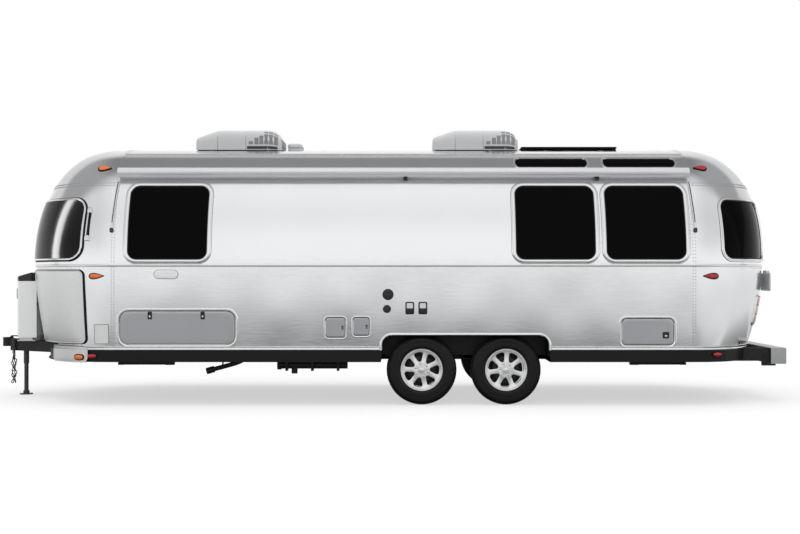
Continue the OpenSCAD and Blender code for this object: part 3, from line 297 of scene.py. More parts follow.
side_r, shoulder_r = 1.6, 0.789
side_end, crown_start, gutter = np.radians([35, 80, 66])
arc_r = [side_r, shoulder_r]
arc_mid = [np.array([half_w - side_r, belt_z])]
arc_mid.append(arc_mid[0] + (side_r - shoulder_r) * np.array([np.cos(side_end), np.sin(side_end)]))
crown_foot = arc_mid[1] + shoulder_r * np.array([np.cos(crown_start), np.sin(crown_start)])
arc_r.append(crown_foot[0] / np.cos(crown_start))
arc_mid.append(np.array([0, crown_foot[1] - arc_r[2] * np.sin(crown_start)]))
arc_r, arc_mid = np.array(arc_r), np.array(arc_mid)
apex_z = arc_mid[2][1] + arc_r[2]


def section(a, d=0.0):
    """Point of the shell's section at angle a, d outside the skin: the arc that holds a, as centre plus radius
    times (cos a, sin a); past the top it is mirrored. Returns the distance from the middle and the height."""
    b = np.minimum(a, np.pi - a)
    arc = np.searchsorted([side_end, crown_start], b)
    y = arc_mid[arc, 0] + (arc_r[arc] + d) * np.cos(b)
    z = arc_mid[arc, 1] + (arc_r[arc] + d) * np.sin(b)
    return np.where(a > np.pi / 2, -y, y), z


def angle_at(z):
    """Section angle of the skin at height z: the arcsine on the side arc, then on the shoulder arc."""
    low = np.arcsin(np.clip((z - arc_mid[0][1]) / arc_r[0], 0, 1))
    high = np.arcsin(np.clip((z - arc_mid[1][1]) / arc_r[1], 0, 1))
    return np.where(low < side_end, low, high)


def on_wall(side, x, z, d):
    """Point of the rolled wall above x at the skin's height z, d outwards along the section's own normal."""
    y, h = section(angle_at(z), d)
    h = np.where(z < belt_z, z, h)
    y = np.where(z < belt_z, half_w + d, y)
    return np.stack([mid_x + x + 0 * z, side * y + 0 * x, h + 0 * x], -1)


window_w, window_z0, window_z1, window_r = 0.826, 1.502, 2.280, 0.095
side_windows = {-1: [-2.431, 1.567, 2.499], 1: [-2.491, -0.261, 1.567, 2.499]}
vista_windows = [1.567, 2.499]
vista_w, (vista_z0, vista_z1) = 0.766, section(np.radians([45.5, 58.5]))[1]
vista_h = vista_z1 - vista_z0


def window_hole(x):
    """The rounded opening of a side window centred on x."""
    return (x - window_w / 2, window_z0, window_w, window_z1 - window_z0, window_r)


def vista_hole(x):
    """The long narrow opening of a roof window centred on x."""
    return (x - vista_w / 2, vista_z0, vista_w, vista_h, vista_h / 2 - 0.002)


for side, word in ((-1, "left"), (1, "right")):
    holes = [widened(window_hole(x), -0.004) for x in side_windows[side]] + [vista_hole(x) for x in vista_windows]
    holes += [door_hole] if side > 0 else []
    us, vs = hole_lines(holes)
    rises = section(lines(0, gutter, 0.03))[1]
    rises = np.unique(np.round(np.concatenate([rises, *[np.linspace(e - 0.02, e + 0.02, 5) for e in vs]]), 4))
    rises = rises[(rises >= belt_z) & (rises <= section(gutter)[1])]
    rises = rises[np.concatenate([[True], np.diff(rises) > 0.003])]
    rises[0], rises[-1] = belt_z, section(gutter)[1]
    u, v, keep = cut_grid(lines(-half_straight, half_straight, 0.05, us), rises, holes)
    build("upper_skin_" + word, [sheet_of(on_wall(side, u, v, ripple(u, v)), on_wall(side, u, v, -wall_t), keep)],
          shell_metal, ["upper_wall_" + word])

# ---- roof skin -----------------------------------------------------------------------
# One crowned aluminium sheet between the two gutter rails, bent to the flattest arc of the
# section and riveted along both edges.

roof_x, roof_a = np.meshgrid(lines(-half_straight, half_straight, 0.06), np.linspace(gutter, np.pi - gutter, 49))


def on_roof(x, a, d):
    """Point of the shell above x at section angle a, d outside the skin."""
    y, z = section(a, d)
    return np.stack([mid_x + x + 0 * a, y + 0 * x, z + 0 * x], -1)


build("roof_skin", [sheet_of(on_roof(roof_x, roof_a, ripple(roof_x, roof_a)), on_roof(roof_x, roof_a, -wall_t))],
      shell_metal, ["roof_panel"])

# ---- end caps ------------------------------------------------------------------------
# Stretch-formed gores at both ends, rounder than an ellipse in plan. The front one is cut
# away below for the drawbar, and the rear one has the wrap-round window.

plan_power = 2 / 2.2
cap_forms = {-1: (1.084, 2.03, 2.89, 0.1, 0.076), 1: (0.976, 2.7, 2.31, 0.0, 0.24)}


def cap_reach(end, z, d):
    """How far a cap stands past its seam: above the belt a power curve down to nothing at the apex, below it a
    slow parabola inwards. z is the height and d the distance outside the skin."""
    depth, rise, fall, lean, tuck = cap_forms[end]
    up = np.clip((z - belt_z) / (apex_z + d - belt_z), 0, 1)
    high = (depth + d) * np.maximum(0, 1 - up ** rise) ** (1 / fall)
    down = np.maximum(belt_z - z, 0)
    return np.where(z > belt_z, high, depth + d - lean * down - tuck * down ** 2)


def signed_power(value, power):
    """The size of a number raised to a power, with the number's own sign: one coordinate of a superellipse."""
    return np.sign(value) * np.abs(value) ** power


def on_cap(end, s, f, d):
    """Point of a cap. s is metres below the belt when negative, or the section angle above it; f turns from the left
    side to the right; the plan is a superellipse of the cap's reach and the section's half width."""
    y, z = section(np.maximum(s, 0), d)
    y = np.where(s < 0, half_w + d, y)
    z = np.where(s < 0, belt_z + s, z)
    along = np.abs(np.cos(f)) ** plan_power
    across = signed_power(np.sin(f), plan_power)
    x = half_straight + cap_reach(end, z, d) * along
    return np.stack([mid_x + end * x, y * across, z + 0 * across], -1)


def gore(s, f):
    """The same slow waves as on the walls, over the developed cap."""
    return ripple(2.2 * f, 1.6 * s)


plan_turn = np.radians(np.linspace(-90, 90, 91))
plan_line = on_cap(1, np.zeros(91), plan_turn, np.zeros(91))
plan_run = np.concatenate([[0], np.cumsum(np.linalg.norm(np.diff(plan_line, axis=0), axis=1))])
plan_run -= plan_run[45]


def turn_at(run):
    """Plan angle of the point that lies the given run round the rear cap from its middle, at the belt line."""
    return np.interp(run, plan_run, plan_turn)


def run_at(degrees):
    """The run round the plan at the belt line for a plan angle, the reverse of turn_at."""
    return np.interp(np.radians(degrees), plan_turn, plan_run)


rear_pane_a0, rear_pane_a1 = np.radians([2, 25]) * side_r
rear_middle = (-run_at(23), rear_pane_a0, 2 * run_at(23), rear_pane_a1 - rear_pane_a0, 0.05)
rear_wing = (run_at(26), rear_pane_a0, run_at(73) - run_at(26), rear_pane_a1 - rear_pane_a0, 0.11)
rear_wings = [rear_wing, (-rear_wing[0] - rear_wing[2], *rear_wing[1:])]

high_rows = np.concatenate([np.linspace(0, side_end, 22), np.linspace(side_end, crown_start, 24)[1:],
                            np.radians(90 - 10 * np.linspace(1, 0, 14) ** 1.5)[1:]])
for end, word, holes in ((-1, "front", []), (1, "rear", [rear_middle] + rear_wings)):
    us, vs = hole_lines(holes)
    runs = lines(plan_run[0], plan_run[-1], 0.05, us, 0.02)
    rows = np.unique(np.round(np.concatenate([high_rows * side_r,
                                              *[np.linspace(e - 0.02, e + 0.02, 5) for e in vs]]), 5))
    rows = rows[(rows >= 0) & (rows <= np.pi / 2 * side_r + 1e-5)]
    u, v, keep = cut_grid(runs, rows, holes)
    s, f = np.minimum(v / side_r, np.pi / 2), turn_at(u)
    build("upper_cap_" + word, [sheet_of(on_cap(end, s, f, gore(s, f)), on_cap(end, s, f, -wall_t), keep)],
          shell_metal, [word + "_cap_upper"])
    f, s = np.meshgrid(np.radians(np.linspace(-90, 90, 73)),
                       np.concatenate([[0, 0.041, 0.057], np.linspace(0.057, 0.884, 24)[1:]]) + sill_z - belt_z)
    keep = np.ones((s.shape[0] - 1, s.shape[1] - 1), bool)
    if end < 0:
        keep[:2, 16:-16] = False
    build("lower_cap_" + word, [sheet_of(on_cap(end, s, f, gore(s, f)), on_cap(end, s, f, -wall_t), keep)],
          shell_metal, [word + "_cap_lower"])

# ---- seams and rivets ------------------------------------------------------------------
# The sheets lap under flat bands at both cap seams and are held by domed aluminium rivets,
# close together on the seams, the belt and the rail, wider apart on the ribs and the roof.


def full_turn(count):
    """Evenly spaced angles round a circle, the last one a step short of the first."""
    return np.linspace(0, 2 * np.pi, count, endpoint=False)


def unit(v):
    """Vectors of length one along the last axis."""
    return v / np.linalg.norm(v, axis=-1, keepdims=True)


def on_hull(side, x, v, d):
    """Point of the straight shell: v is metres below the belt when negative, or the section angle above it."""
    y, z = section(np.maximum(v, 0), d)
    y = np.where(v < 0, half_w + d, y)
    z = np.where(v < 0, belt_z + v, z)
    return np.stack([mid_x + x + 0 * z, side * y + 0 * x, z + 0 * x], -1)


def on_face(face):
    """The surface of a face as a function of (u, v, d): metres along a wall or degrees round a cap, and the level."""
    if face in ("left", "right"):
        return lambda u, v, d: on_hull(-1 if face == "left" else 1, u, v, d)
    return lambda u, v, d: on_cap(-1 if face == "front" else 1, v, np.radians(u), d)


def frames_on(surface, u, v):
    """Right-handed frames on a surface, from small differences: the points, across, up and outwards."""
    u, v = np.broadcast_arrays(np.atleast_1d(np.asarray(u, float)), np.atleast_1d(np.asarray(v, float)))
    e, none = 5e-4, np.zeros(u.shape)
    here = surface(u, v, none)
    along = surface(u + e, v, none) - surface(u - e, v, none)
    up = unit(surface(u, v + e, none) - surface(u, v - e, none))
    out = unit(np.cross(along, up))
    out *= np.sign((out * (surface(u, v, none + e) - here)).sum(-1, keepdims=True))
    return here, np.cross(up, out), up, out


def turned(frames, half_u, half_v, profile, power=2.0, sides=24, taper=0.0):
    """Solids standing on frames: a ring for each (scale, height) of the profile, from a point on the axis to another.
    A ring is the superellipse |u/half_u|^power + |v/half_v|^power = scale^power, narrowed along u by taper."""
    centre, across, up, out = (f[:, None, None] for f in frames)
    t = full_turn(sides)
    c = signed_power(np.cos(t), 2 / power)
    s = signed_power(np.sin(t), 2 / power) * (1 - taper * c)
    scale, height = np.array(profile, float).T
    points = (centre + across * np.outer(scale, c * half_u)[None, ..., None]
              + up * np.outer(scale, s * half_v)[None, ..., None] + out * height[None, :, None, None])
    one = as_faces(points[0], cols_close=True)[1]
    step = points.shape[1] * points.shape[2]
    return points.reshape(-1, 3), (one[None] + step * np.arange(len(points))[:, None, None]).reshape(-1, 4)


def row_on(face, start, stop, pitch):
    """Frames at an even pitch along a straight line between two (u, v) places of a face."""
    surface = on_face(face)
    t = np.linspace(0, 1, 60)
    line = surface(start[0] + t * (stop[0] - start[0]), start[1] + t * (stop[1] - start[1]), 0 * t)
    run = np.concatenate([[0], np.cumsum(np.linalg.norm(np.diff(line, axis=0), axis=1))])
    t = np.interp(np.linspace(0, run[-1], max(2, int(run[-1] / pitch))), run, t)
    return frames_on(surface, start[0] + t * (stop[0] - start[0]), start[1] + t * (stop[1] - start[1]))


def joined(rows):
    """Several sets of frames as one set."""
    return tuple(np.concatenate(group) for group in zip(*rows))


rivet_head = [(0, -0.0035), (1, -0.0035), (1, -0.0006), (0.72, 0.0012), (0, 0.0020)]
rail_v = sill_z + 0.054 - belt_z
seam_rows, field_rows = [], []
for face, side in (("left", -1), ("right", 1)):
    for end in (-1, 1):
        for off in (-0.013, 0.013):
            x = end * (half_straight + off)
            seam_rows.append(row_on(face, (x, rail_v), (x, -0.03), 0.030))
            seam_rows.append(row_on(face, (x, 0.02), (x, np.pi / 2 - 0.01), 0.034))
    field_rows += [row_on(face, (-half_straight + 0.04, -0.036), (half_straight - 0.04, -0.036), 0.050),
                   row_on(face, (-half_straight + 0.04, rail_v), (half_straight - 0.04, rail_v), 0.050),
                   row_on(face, (-half_straight + 0.04, gutter + 0.05), (half_straight - 0.04, gutter + 0.05), 0.060)]
    for x in np.arange(-2.1, 2.9, 0.61):
        field_rows += [row_on(face, (x, rail_v), (x, -0.04), 0.075), row_on(face, (x, 0.03), (x, 0.76), 0.075),
                       row_on(face, (x, gutter + 0.06), (x, np.pi / 2), 0.075)]
for end in ("front", "rear"):
    for v in (np.radians(31.2), np.radians(32.3)):
        seam_rows.append(row_on(end, (-88, v), (88, v), 0.034))
    field_rows += [row_on(end, (-88, -0.036), (88, -0.036), 0.050), row_on(end, (-88, rail_v), (88, rail_v), 0.050)]
    for f in (-64, -38, -13, 13, 38, 64):
        field_rows += [row_on(end, (f + off, np.radians(33)), (f + off * 3, np.radians(83)), 0.05)
                       for off in (-0.3, 0.3)]
seam_frames, field_frames = joined(seam_rows), joined(field_rows)


def is_clear(frames):
    """Which frames of the rivet field lie on plain sheet, away from the windows, lids, lamps, door and arches."""
    x, z, y = frames[0][:, 0] - mid_x, frames[0][:, 2], frames[0][:, 1]
    free = np.ones(len(x), bool)
    for side in (-1, 1):
        holes = [arch_hole] + [window_hole(c) for c in side_windows[side]] + [vista_hole(c) for c in vista_windows]
        holes += list(lid_holes.values()) if side < 0 else [door_hole]
        for hole in holes:
            free &= ~((rounded(x, z, hole)[0] < 0.055) & (y * side > 0))
    nose = (x < -half_straight - 0.1) & (z < belt_z + 0.75) & (np.abs(y) < 1.16)
    tail = (x > half_straight + 0.2) & (z > belt_z) & (z < belt_z + 0.75) & (np.abs(y) < 1.2)
    return free & ~nose & ~tail


clear = is_clear(field_frames)
rivet_dull = finish("rivet_dull", (0.42, 0.43, 0.44), 0.4, metal=0.9, mottle=0.1, size=20, grain=300,
                    bump=0.05, grit=0.2)
build("seam_rivets", [turned(seam_frames, 0.0072, 0.0072, rivet_head, sides=8)], rivet_dull)
build("field_rivets", [turned([f[clear] for f in field_frames], 0.0042, 0.0042, rivet_head, sides=6)],
      shell_metal)


def strip(face, us, profile, level):
    """Profile of (rise, off the skin) pairs carried along a face at a level, with closed ends."""
    surface, rings = on_face(face), []
    for rise, off in profile:
        v = np.full(len(us), level + rise)
        rings.append(surface(us, np.where(v > 0, v / side_r, v), np.full(len(us), off)))
    return capped(np.stack(rings))


def capped(grid):
    """A tube of closed rings (one row for each profile point) with both ends drawn to their middle points."""
    first, last = grid[:, :1].mean(0, keepdims=True), grid[:, -1:].mean(0, keepdims=True)
    ends = [np.repeat(p, len(grid), 0) for p in (first, last)]
    return as_faces(np.concatenate([ends[0], grid, ends[1]], 1), rows_close=True)


def upright(face, x, half, vs):
    """A flat band up a wall, 0.9 mm proud: half as wide on each side of x, over the levels vs."""
    surface = on_face(face)
    rings = [surface(np.full(len(vs), x + across), vs, np.full(len(vs), d))
             for across, d in ((-half, -0.004), (-half, 0.0009), (half, 0.0009), (half, -0.004))]
    return capped(np.stack(rings))


band_v = np.concatenate([np.linspace(sill_z + 0.04 - belt_z, -0.001, 20), np.linspace(0, np.pi / 2, 60)])
build("seam_bands", [upright(face, x, 0.024, band_v) for face in ("left", "right")
                     for x in (-half_straight, half_straight)],
      shell_metal)

# ---- belt, rail, gutter and arch trim --------------------------------------------------
# Extruded bright aluminium: a double-beaded belt, a rounded lower rail, J-shaped gutters
# and a rolled edging round each pair of wheels, riveted over the sheet edges.

trim_metal = finish("trim_metal", (0.86, 0.87, 0.88), 0.2, metal=1.0, mottle=0.03, size=2, grain=(4, 4, 300),
                    bump=0.03, grit=0.2)
belt_profile = [(-0.025, -0.004), (-0.025, 0.003), (-0.022, 0.007), (-0.016, 0.008), (-0.013, 0.0045),
                (-0.009, 0.0045), (-0.006, 0.008), (0.000, 0.007), (0.0025, 0.003), (0.0025, -0.004)]
rail_profile = [(0.0, -0.004), (0.0, 0.007), (0.004, 0.010), (0.012, 0.010), (0.018, 0.006), (0.024, 0.005),
                (0.031, 0.008), (0.038, 0.0075), (0.041, 0.003), (0.041, -0.004)]
door_edges = (door_hole[0] - 0.012, door_hole[0] + door_hole[2] + 0.012)
arch_edges = (arch_hole[0] - 0.026, arch_hole[0] + arch_hole[2] + 0.026)
long_run = np.linspace(-half_straight, half_straight, 12)
cap_run = np.linspace(-90, 90, 73)
trims = [strip("left", long_run, belt_profile, 0.0)]
trims += [strip("right", np.linspace(a, b, 6), belt_profile, 0.0)
          for a, b in ((-half_straight, door_edges[0]), (door_edges[1], half_straight))]
trims += [strip(end, cap_run, belt_profile, 0.0) for end in ("front", "rear")]
rail_level = sill_z - belt_z
for face in ("left", "right"):
    trims += [strip(face, np.linspace(a, b, 6), rail_profile, rail_level)
              for a, b in ((-half_straight, arch_edges[0]), (arch_edges[1], half_straight))]
trims += [strip("front", np.linspace(a, b, 22), rail_profile, rail_level) for a, b in ((-90, -50), (50, 90))]
trims += [strip("rear", np.linspace(a, b, 40), rail_profile, rail_level) for a, b in ((-90, -6), (6, 90))]
gutter_profile = [(-1.4, -0.003), (-1.4, 0.010), (-1.1, 0.0135), (-0.7, 0.0138), (-0.5, 0.010), (-0.1, 0.0045),
                  (0.9, 0.0035), (1.4, 0.002), (1.4, -0.003)]
for side in (-1, 1):
    rings = [on_hull(side, long_run, np.full(12, gutter + np.radians(rise)), np.full(12, off))
             for rise, off in gutter_profile]
    trims.append(capped(np.stack(rings)))
build("trim_extrusions", trims, trim_metal, ["trim_strips"])


def outline(hole, grow=0.0, corner=10, step=0.05):
    """Points round a rounded rectangle: quarter circles of the grown radius, joined by evenly divided straights."""
    u0, v0, w, h, r = hole
    turn = np.linspace(0, np.pi / 2, corner)
    us, vs = [], []
    mids = [(u0 + w - r, v0 + r), (u0 + w - r, v0 + h - r), (u0 + r, v0 + h - r), (u0 + r, v0 + r)]
    for k, (cu, cv) in enumerate(mids):
        angle = turn + (k - 1) * np.pi / 2
        us.append(cu + (r + grow) * np.cos(angle))
        vs.append(cv + (r + grow) * np.sin(angle))
        straight = (h - 2 * r) if k % 2 == 0 else (w - 2 * r)
        n = max(1, int(straight / step))
        t = np.arange(1, n) / n
        nu, nv = mids[(k + 1) % 4]
        after = k * np.pi / 2
        us.append(us[-1][-1] + t * (nu + (r + grow) * np.cos(after) - us[-1][-1]))
        vs.append(vs[-1][-1] + t * (nv + (r + grow) * np.sin(after) - vs[-1][-1]))
    return np.concatenate(us), np.concatenate(vs)


def rim_around(hole, profile, surface):
    """Profile of (outwards, off the skin) pairs carried round a rounded opening of a surface."""
    rings = []
    for grow, off in profile:
        u, v = outline(hole, grow)
        rings.append(surface(u, v, np.full(len(u), off)))
    return as_faces(np.stack(rings), rows_close=True, cols_close=True)


def panel(hole, grow, rise, thick, surface, rings=9):
    """A sheet that fills a rounded opening: rings drawn towards its middle, thick metres deep; rise gives its height
    off the skin from the middle outwards as a function of the share of the way to the edge."""
    u, v = outline(hole, grow)
    mid_u, mid_v = hole[0] + hole[2] / 2, hole[1] + hole[3] / 2
    k = np.linspace(0, 1, rings)[:, None]
    us, vs = mid_u + k * (u - mid_u), mid_v + k * (v - mid_v)
    top = rise(k) + 0 * us
    upper, lower = surface(us, vs, top), surface(us[::-1], vs[::-1], top[::-1] - thick)
    return as_faces(np.concatenate([upper, lower]), cols_close=True)


def wall_face(side):
    """The rolled side as a surface of (x, height, off the skin)."""
    return lambda u, v, d: on_wall(side, u, v, d)


arch_profile = [(-0.001, -0.004), (0.001, 0.009), (0.005, 0.0118), (0.011, 0.0118), (0.017, 0.007),
                (0.024, 0.005), (0.026, 0.002), (0.026, -0.004)]
arch_tall = (arch_hole[0], 0.40, arch_hole[2], arch_hole[1] + arch_hole[3] - 0.40, arch_hole[4])
for side, word in ((-1, "left"), (1, "right")):
    rings = []
    for grow, off in arch_profile:
        u, v = outline(arch_tall, grow)
        first = np.argmax(v > sill_z)
        u, v = np.roll(u, -first), np.roll(v, -first)
        u, v = u[v > sill_z], v[v > sill_z]
        u = np.concatenate([u[:1], u, u[-1:]])
        v = np.concatenate([[sill_z], v, [sill_z]])
        rings.append(flat_wall(side, u, v, off))
    build("arch_edging_" + word, [capped(np.stack(rings))], trim_metal)

# ---- window frames, glass and guards ---------------------------------------------------
# Radiused extrusions screwed round each opening over a black gasket, dark privacy glass
# behind them, and a smoked guard that stands off the front windows on its own rim. Thin black
# bands at the frames' feet, the black skirt under the guard's rim and the black bands round
# the stone shields are painted shadow.

pane_black = finish("pane_black", (0.0015, 0.0015, 0.002), 0.045, mottle=0.3, size=0.7, grain=3,
                    bump=0.01, specular=0.035)
# Black rubber for real gaskets, lamp bases and rods, also used for the painted shadow bands by the windows and the
# stone shields.
gasket_and_shadow_black = finish("gasket_and_shadow_black", (0.006, 0.006, 0.006), 0.55, mottle=0.3, size=4, bump=0.1, specular=0.2)
frame_profile = [(0.042, -0.004), (0.0415, 0.003), (0.039, 0.0055), (0.028, 0.0065), (0.0255, 0.0105),
                 (0.016, 0.012), (0.004, 0.0115), (-0.002, 0.008), (-0.004, 0.003), (-0.004, -0.004)]
seal_profile = [(-0.002, -0.006), (-0.003, 0.001), (-0.008, 0.0012), (-0.013, -0.002), (-0.013, -0.007)]
# shadow_profile draws a thin black band at the outer foot of each frame: painted shadow of the frame's edge.
shadow_profile = [(0.0415, -0.004), (0.0415, 0.0010), (0.0432, 0.0010), (0.0432, -0.004)]
vista_profile = [(0.016, -0.004), (0.0155, 0.004), (0.012, 0.007), (0.003, 0.007), (-0.001, 0.004), (-0.003, -0.005)]


def flat_rise(height):
    """A panel that lies at one height."""
    return lambda k: height + 0 * k


frames, seals_and_shadow_bands, panes = [], [], []
for side in (-1, 1):
    surface = wall_face(side)
    for x in side_windows[side]:
        hole = window_hole(x)
        frames.append(rim_around(hole, frame_profile, surface))
        seals_and_shadow_bands += [rim_around(hole, seal_profile, surface), rim_around(hole, shadow_profile, surface)]
        panes.append(panel(hole, -0.0008, flat_rise(-0.004), 0.008, surface, 14))
    for x in vista_windows:
        hole = vista_hole(x)
        frames.append(rim_around(hole, vista_profile, surface))
        panes.append(panel(hole, -0.0008, flat_rise(-0.003), 0.008, surface, 12))
frames.append(rim_around(door_hole, [(0.012, -0.004), (0.012, 0.004), (0.009, 0.005), (0.002, 0.005), (0, 0.003),
                                     (0, -0.004)], wall_face(1)))


def cap_face(end):
    """A cap as a surface of (run round it in metres, level, off the skin); the level is metres below the belt when
    negative, and side_r times the section angle above it."""
    return lambda u, v, d: on_cap(end, np.where(v < 0, v, np.minimum(v / side_r, np.pi / 2)), turn_at(u), d)


rear_face, front_face = cap_face(1), cap_face(-1)
cap_profile = [(0.030, -0.004), (0.0295, 0.004), (0.027, 0.007), (0.018, 0.0075), (0.016, 0.012), (0.008, 0.014),
               (0.001, 0.012), (-0.003, 0.006), (-0.004, -0.004)]
for hole in rear_wings:
    frames.append(rim_around(hole, cap_profile, rear_face))
    panes.append(panel(hole, -0.0008, flat_rise(-0.004), 0.008, rear_face, 16))
    seals_and_shadow_bands += [rim_around(hole, seal_profile, rear_face),
              rim_around(hole, [(g - 0.0115, d) for g, d in shadow_profile], rear_face)]
frames.append(rim_around(rear_middle, [(g * 0.6, d) for g, d in cap_profile], rear_face))
panes.append(panel(rear_middle, -0.0008, flat_rise(-0.004), 0.008, rear_face, 16))
seals_and_shadow_bands.append(rim_around(rear_middle, seal_profile, rear_face))

guard_hole = (-run_at(73.5), np.radians(2.2) * side_r, 2 * run_at(73.5), np.radians(22.6) * side_r, 0.13)
# The black skirt from the skin up under the guard's rim is painted shadow of the gap where the guard stands off the
# cap.
shadow_skirt_profile = [(0.034, -0.002), (0.034, 0.002), (0.021, 0.006), (0.016, 0.010), (-0.010, 0.011),
                 (-0.012, 0.008), (0.004, 0.004), (0.008, -0.002)]
guard_rim = [(0.020, 0.009), (0.020, 0.015), (0.016, 0.019), (0.006, 0.019), (0.001, 0.0175), (-0.002, 0.013),
             (-0.002, 0.009)]
seals_and_shadow_bands.append(rim_around(guard_hole, shadow_skirt_profile, front_face))
frames.append(rim_around(guard_hole, guard_rim, front_face))
for u0, w in ((-run_at(23), 2 * run_at(23)), (run_at(26), run_at(66) - run_at(26)),
              (-run_at(66), run_at(66) - run_at(26))):
    panes.append(panel((u0, rear_pane_a0, w, np.radians(20) * side_r, 0.05), 0.02, flat_rise(-0.002), 0.006,
                       front_face, 14))
build("window_rims", frames, trim_metal, ["window_frames"])
build("window_seals_and_shadow_bands", seals_and_shadow_bands, gasket_and_shadow_black)
build("window_panes", panes, pane_black, ["window_glass"])

guard_gloss = finish("guard_gloss", (0.003, 0.003, 0.0035), 0.15, mottle=0.2, size=1, grain=2, bump=0.01,
                     specular=0.12)
front_guard = build("front_window_guard", [panel(guard_hole, -0.001, flat_rise(0.015), 0.005, front_face,
                                                 24)], guard_gloss, ["window_guard"])
hinge_u, hinge_levels = run_at(77), (0.27, 0.57)
clips, rods = [], []
for s in (-1, 1):
    for v in hinge_levels:
        clips.append(turned(frames_on(front_face, s * hinge_u, v), 0.022, 0.030,
                            [(0, 0.0), (1, 0.0), (1, 0.020), (0.85, 0.024), (0, 0.024)], 6, 24))
    rods.append(turned(frames_on(front_face, s * (hinge_u + 0.004), sum(hinge_levels) / 2), 0.007, 0.13,
                       [(0, 0.002), (1, 0.002), (1, 0.016), (0.7, 0.020), (0, 0.020)], 8, 24))
build("guard_clips", clips, trim_metal)
build("guard_rods", rods, gasket_and_shadow_black)

guard_steel = finish("guard_steel", (0.76, 0.765, 0.77), 0.32, metal=1.0, mottle=0.03, size=3, grain=(500, 500, 9),
                     bump=0.05, grit=0.25)
stone_v0, stone_v1 = sill_z + 0.066 - belt_z, -0.062
stone_w = run_at(75.3) - run_at(27)
aprons, stones, edges = [], [], []
for s in (-1, 1):
    u0 = run_at(27) if s > 0 else -run_at(75.3)
    hole = (u0, stone_v0, stone_w, stone_v1 - stone_v0, 0.055)
    stones.append(panel(hole, 0.0, lambda k: 0.0215 + 0.0025 * (1 - k ** 8), 0.002, front_face, 24))
    # The black band round each stone shield, from the skin up to its edge, is painted shadow of the gap where the
    # shield stands off.
    edges.append(rim_around(hole, [(-0.004, 0.0), (-0.004, 0.018), (0.004, 0.019), (0.0075, 0.012),
                                   (0.0085, 0.0)], front_face))
    stones.append(rim_around(hole, [(-0.010, 0.0215), (-0.008, 0.0255), (-0.003, 0.0265), (0.000, 0.0245),
                                    (0.000, 0.0215)], front_face))
    u0 = run_at(44) if s > 0 else -run_at(76)
    low = (u0, -0.128 - 0.884, run_at(76) - run_at(44), 0.170, 0.05)
    level = lambda u, v, d: on_cap(-1, np.maximum(v, sill_z - belt_z), turn_at(u), d) + np.stack(
        [0 * v, 0 * v, np.minimum(v - (sill_z - belt_z), 0)], -1)
    aprons += [panel(low, 0.0, lambda k: 0.0135 + 0.001 * (1 - k ** 8), 0.004, level, 16),
               rim_around(low, [(-0.010, 0.010), (-0.009, 0.0165), (-0.003, 0.0175), (0, 0.015), (0, 0.010)], level)]
build("stone_shields", stones, guard_steel, ["stone_guards"])
build("stone_shield_shadow_bands", edges, gasket_and_shadow_black)
build("nose_aprons", aprons, guard_steel)

# ---- marker and tail lamps ---------------------------------------------------------------
# Teardrop lenses over black bases: amber towards the front, red at the rear, and a tall
# cluster of round-cornered lenses in a bright bezel on each rear corner.

amber = finish("amber_lens", (0.80, 0.17, 0.012), 0.16, mottle=0.25, size=30, grain=(300, 300, 60), bump=0.25,
               coat=0.6, bump_size=0.002)
red = finish("red_lens", (0.42, 0.008, 0.010), 0.16, mottle=0.3, size=30, grain=(300, 300, 60), bump=0.25,
             coat=0.6, bump_size=0.002)
lamp_base = [(0, -0.004), (1, -0.004), (1, 0.004), (0.94, 0.0065), (0, 0.0065)]
lamp_lens = [(0, 0.004), (1, 0.004), (0.97, 0.010), (0.86, 0.0136), (0.6, 0.0152), (0, 0.0166)]


def lamps_on(end, places, lean):
    """Bases and lenses at (degrees, level, half length, half height): teardrops, or ovals where lean is zero."""
    bases, lenses = [], []
    for f, v, half_u, half_v, tail in places:
        spots = frames_on(on_face(end), f, v)
        along = spots[1] * np.sign(spots[1][:, :1] + 1e-9)
        spots = (spots[0], along * 1.0, np.cross(spots[3], along), spots[3])
        bases.append(turned(spots, half_u + 0.012, half_v + 0.008, lamp_base, 2, 32, tail * lean * 0.6))
        lenses.append(turned(spots, half_u, half_v, lamp_lens, 2, 32, tail * lean * 0.6))
    return bases, lenses


front_spots = [(side * f, v, a, b, t) for side in (-1, 1) for f, v, a, b, t in (
    (82.5, -0.122, 0.070, 0.022, 1), (79, np.radians(44.5), 0.066, 0.030, 1))]
front_spots += [(f, np.radians(53), 0.055, 0.020, 0) for f in (-8, 0, 8)]
rear_spots = [(side * f, v, a, b, t) for side in (-1, 1) for f, v, a, b, t in (
    (81.5, -0.122, 0.074, 0.023, 1), (79.5, np.radians(45), 0.066, 0.030, 1))]
rear_spots += [(f, np.radians(53), 0.055, 0.020, 0) for f in (-8, 0, 8)]
front_bases, front_lenses = lamps_on("front", front_spots, 1)
rear_bases, rear_lenses = lamps_on("rear", rear_spots, -1)


def pan_spots(places):
    """Frames on the belly pan or the apron below the sill: the sill's outline, moved down."""
    spots = []
    for end, f, drop, off in places:
        here, across, up, out = frames_on(on_face(end), f, sill_z - belt_z + 1e-3)
        out = unit(out * (1, 1, 0))
        along = unit(np.cross((0, 0, 1), out))
        spots.append((here + off * out + np.array([0, 0, drop]), along, np.cross(out, along), out))
    return joined(spots)


apron_spots = pan_spots([("front", s * 70, -0.075, 0.014) for s in (-1, 1)])
front_bases.append(turned(apron_spots, 0.062, 0.034, lamp_base, 2.6, 32))
front_lenses.append(turned(apron_spots, 0.052, 0.026, lamp_lens, 2.4, 32))
side_spots = pan_spots([("front", s * 78.5, -0.062, 0.002) for s in (-1, 1)]
                       + [("rear", s * 74, -0.047, 0.0) for s in (-1, 1)])
rear_bases.append(turned(side_spots, 0.062, 0.028, lamp_base, 2.4, 32))
rear_lenses.append(turned(side_spots, 0.052, 0.021, lamp_lens, 2.2, 32))

